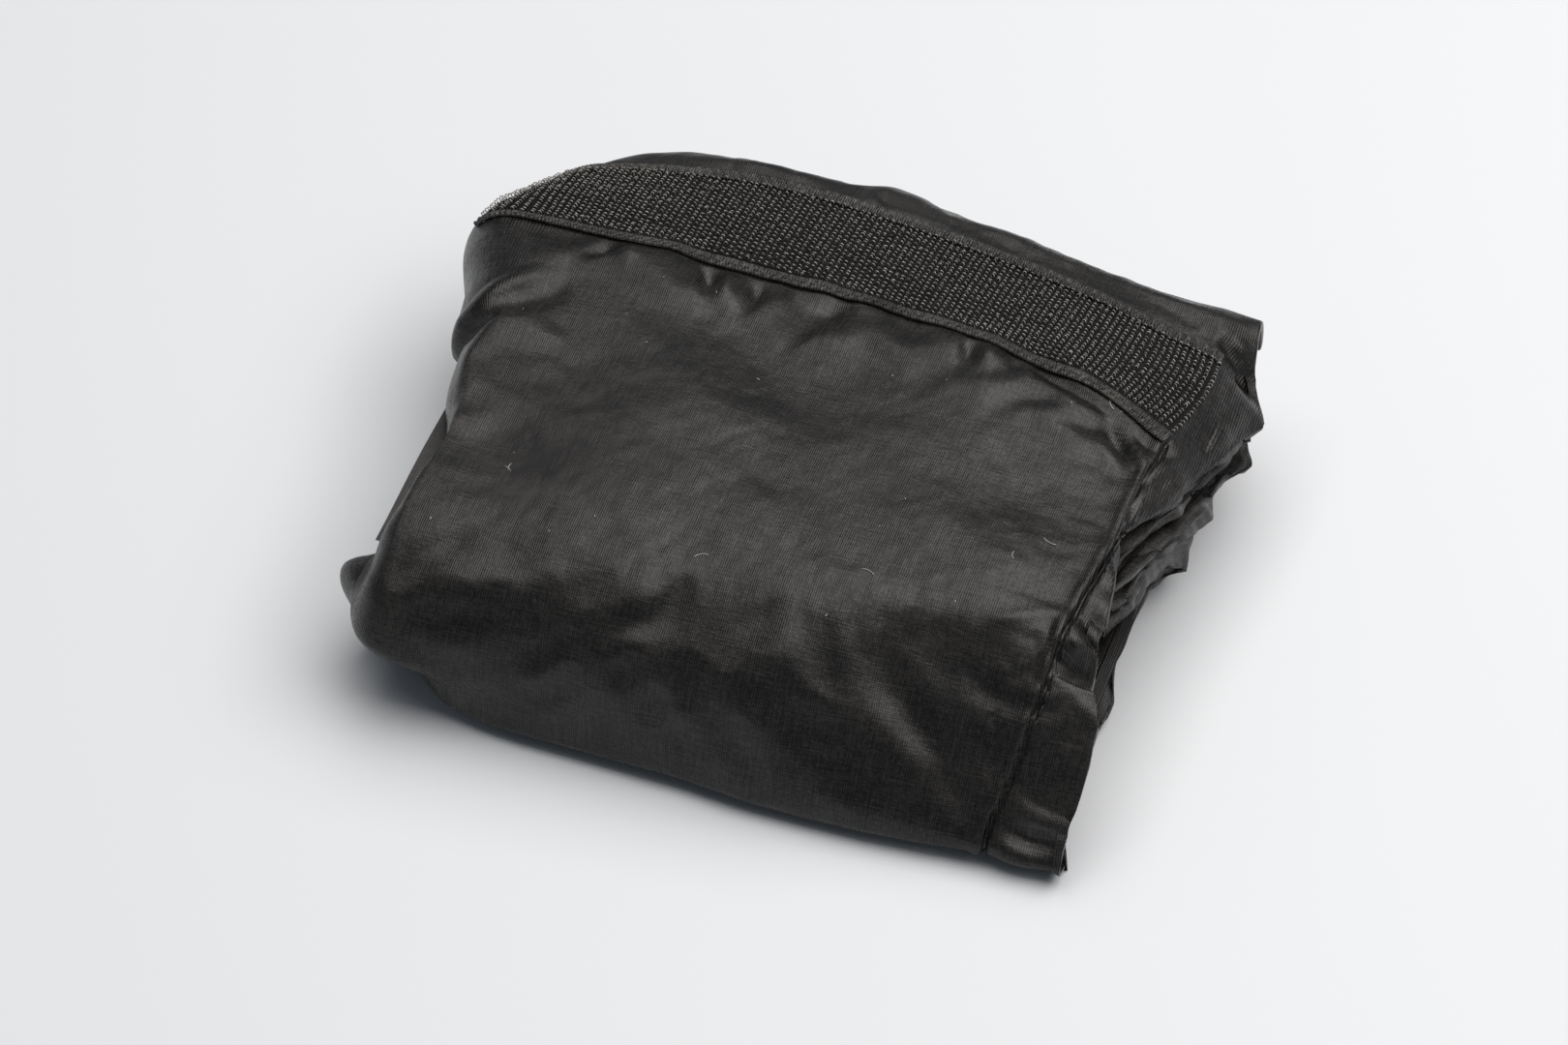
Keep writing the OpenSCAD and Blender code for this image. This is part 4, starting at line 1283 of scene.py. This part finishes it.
z = np.concatenate([[2.1], 2.1 + 15.5 * np.linspace(0, 1, 14), [17.6]])
x, z = np.meshgrid(np.linspace(-69, 64.5, 140), z, indexing="ij")
P = lattice(x, flap_y(x, z) + 1.3, z)
P[..., 1] += 0.1 * ripple(P, 105, 5)
for edge in (P[:, 0], P[:, -1], P[0], P[-1]):
    edge[:, 1] -= 0.8
loop_ground = grid("loop_tape_weave", P, TAPE, "flap_tip", "hook_and_loop")
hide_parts("loop_tape")
make("loop_tape_pile", *pile(), LOOPS, "flap_tip", slot="hook_and_loop")
stitch_x = np.linspace(-68, 63.5, 300)
for z, word in ((2.5, "lower"), (17.2, "upper")):
    line = np.stack([stitch_x, flap_y(stitch_x, np.full(300, z)) + 1.45, np.full(300, z)], -1)
    normal = np.tile(np.array([0, 1.0, 0]), (300, 1))
    row = stitches((line, normal), "flap_tip", f"loop_tape_{word}_stitches", lift=0.1)
    if word == "lower":
        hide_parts("loop_tape_thread")

# ---- Flat sizes of the remaining sheets: not given in this script ---------------------------------

# Most came from the lengths of the CAD's own cloth. Six were fitted to the area of their meshes and so
# are no check on them: lining_pack_top, both side folds, lower_sheet_allowance and the two mouth lips.

# ---- Dust and lint ---------------------------------------------------------------------------------


def lint():
    """Specks and short curls of dust on the top sheet."""
    rng = np.random.default_rng(44)
    parts = []
    for _ in range(26):
        x, y = rng.uniform(-70, 55), rng.uniform(-50, 30)
        p, n = on_cloth(x, y)
        a = rng.uniform(0, 2 * math.pi)
        size = rng.uniform(0.12, 0.35) if rng.uniform() < 0.8 else rng.uniform(0.8, 1.8)
        t = np.linspace(-1, 1, 5)
        side = np.array([math.cos(a), math.sin(a), 0])
        cross = np.cross(n, side)
        line = p + n * 0.12 + side * (t * size)[:, None] + cross * (0.25 * size * t**2)[:, None]
        parts.append(tube(line, 0.055, 4))
    return bundle_of(parts)


make("lint_specks", *lint(), LINT, TOP, slot="sewing_thread")

# ---- Stage -----------------------------------------------------------------------------------------

AZ, EL = math.radians(18.5), math.radians(44)
RIGHT = Vector((math.cos(AZ), math.sin(AZ), 0))
UP = Vector((-math.sin(AZ) * math.sin(EL), math.cos(AZ) * math.sin(EL), math.cos(EL)))
BACK = RIGHT.cross(UP)
# The photograph's view, as fitted: the point looked at, and how far off the camera stands.
aim = (RIGHT * -8.56 + UP * 9.9) * MM
DISTANCE = 1.283
lens = bpy.data.cameras.new("camera")
lens.lens, lens.sensor_width = 150, 36
lens.clip_end = 10
camera = placed("camera", lens)
camera.location = aim + BACK * DISTANCE
camera.rotation_euler = BACK.to_track_quat("Z", "Y").to_euler()
bpy.context.scene.camera = camera


def lamp(name, place, look, size, power):
    """A warm rectangular light at place, aimed at look."""
    data = bpy.data.lights.new(name, "AREA")
    data.shape = "RECTANGLE"
    data.size, data.size_y = size
    data.energy, data.color = power, (1.0, 0.95, 0.91)
    obj = placed(name, data)
    obj.location = place
    obj.rotation_euler = (Vector(place) - Vector(look)).to_track_quat("Z", "Y").to_euler()


lamp("right_softbox", (1.15, 0.0, 1.2), (1.15, 0.0, 0), (0.9, 1.6), 11)
lamp("overhead_softbox", (0.3, 0.42, 1.3), (0.3, 0.42, 0), (1.8, 1.9), 34.5)
world = bpy.data.worlds.new("studio")
world.use_nodes = True
world.node_tree.nodes["Background"].inputs[0].default_value = (0.82, 0.9, 1.0, 1)
world.node_tree.nodes["Background"].inputs[1].default_value = 0.18
bpy.context.scene.world = world
bpy.context.scene.view_settings.view_transform = "Standard"

bpy.ops.mesh.primitive_plane_add(size=6)
floor = bpy.context.object
floor.name = "floor"
pale = Nodes("pale_paper")
pale.set(Base_Color=(0.585, 0.612, 0.638, 1), Roughness=0.8)
floor.data.materials.append(pale.material)
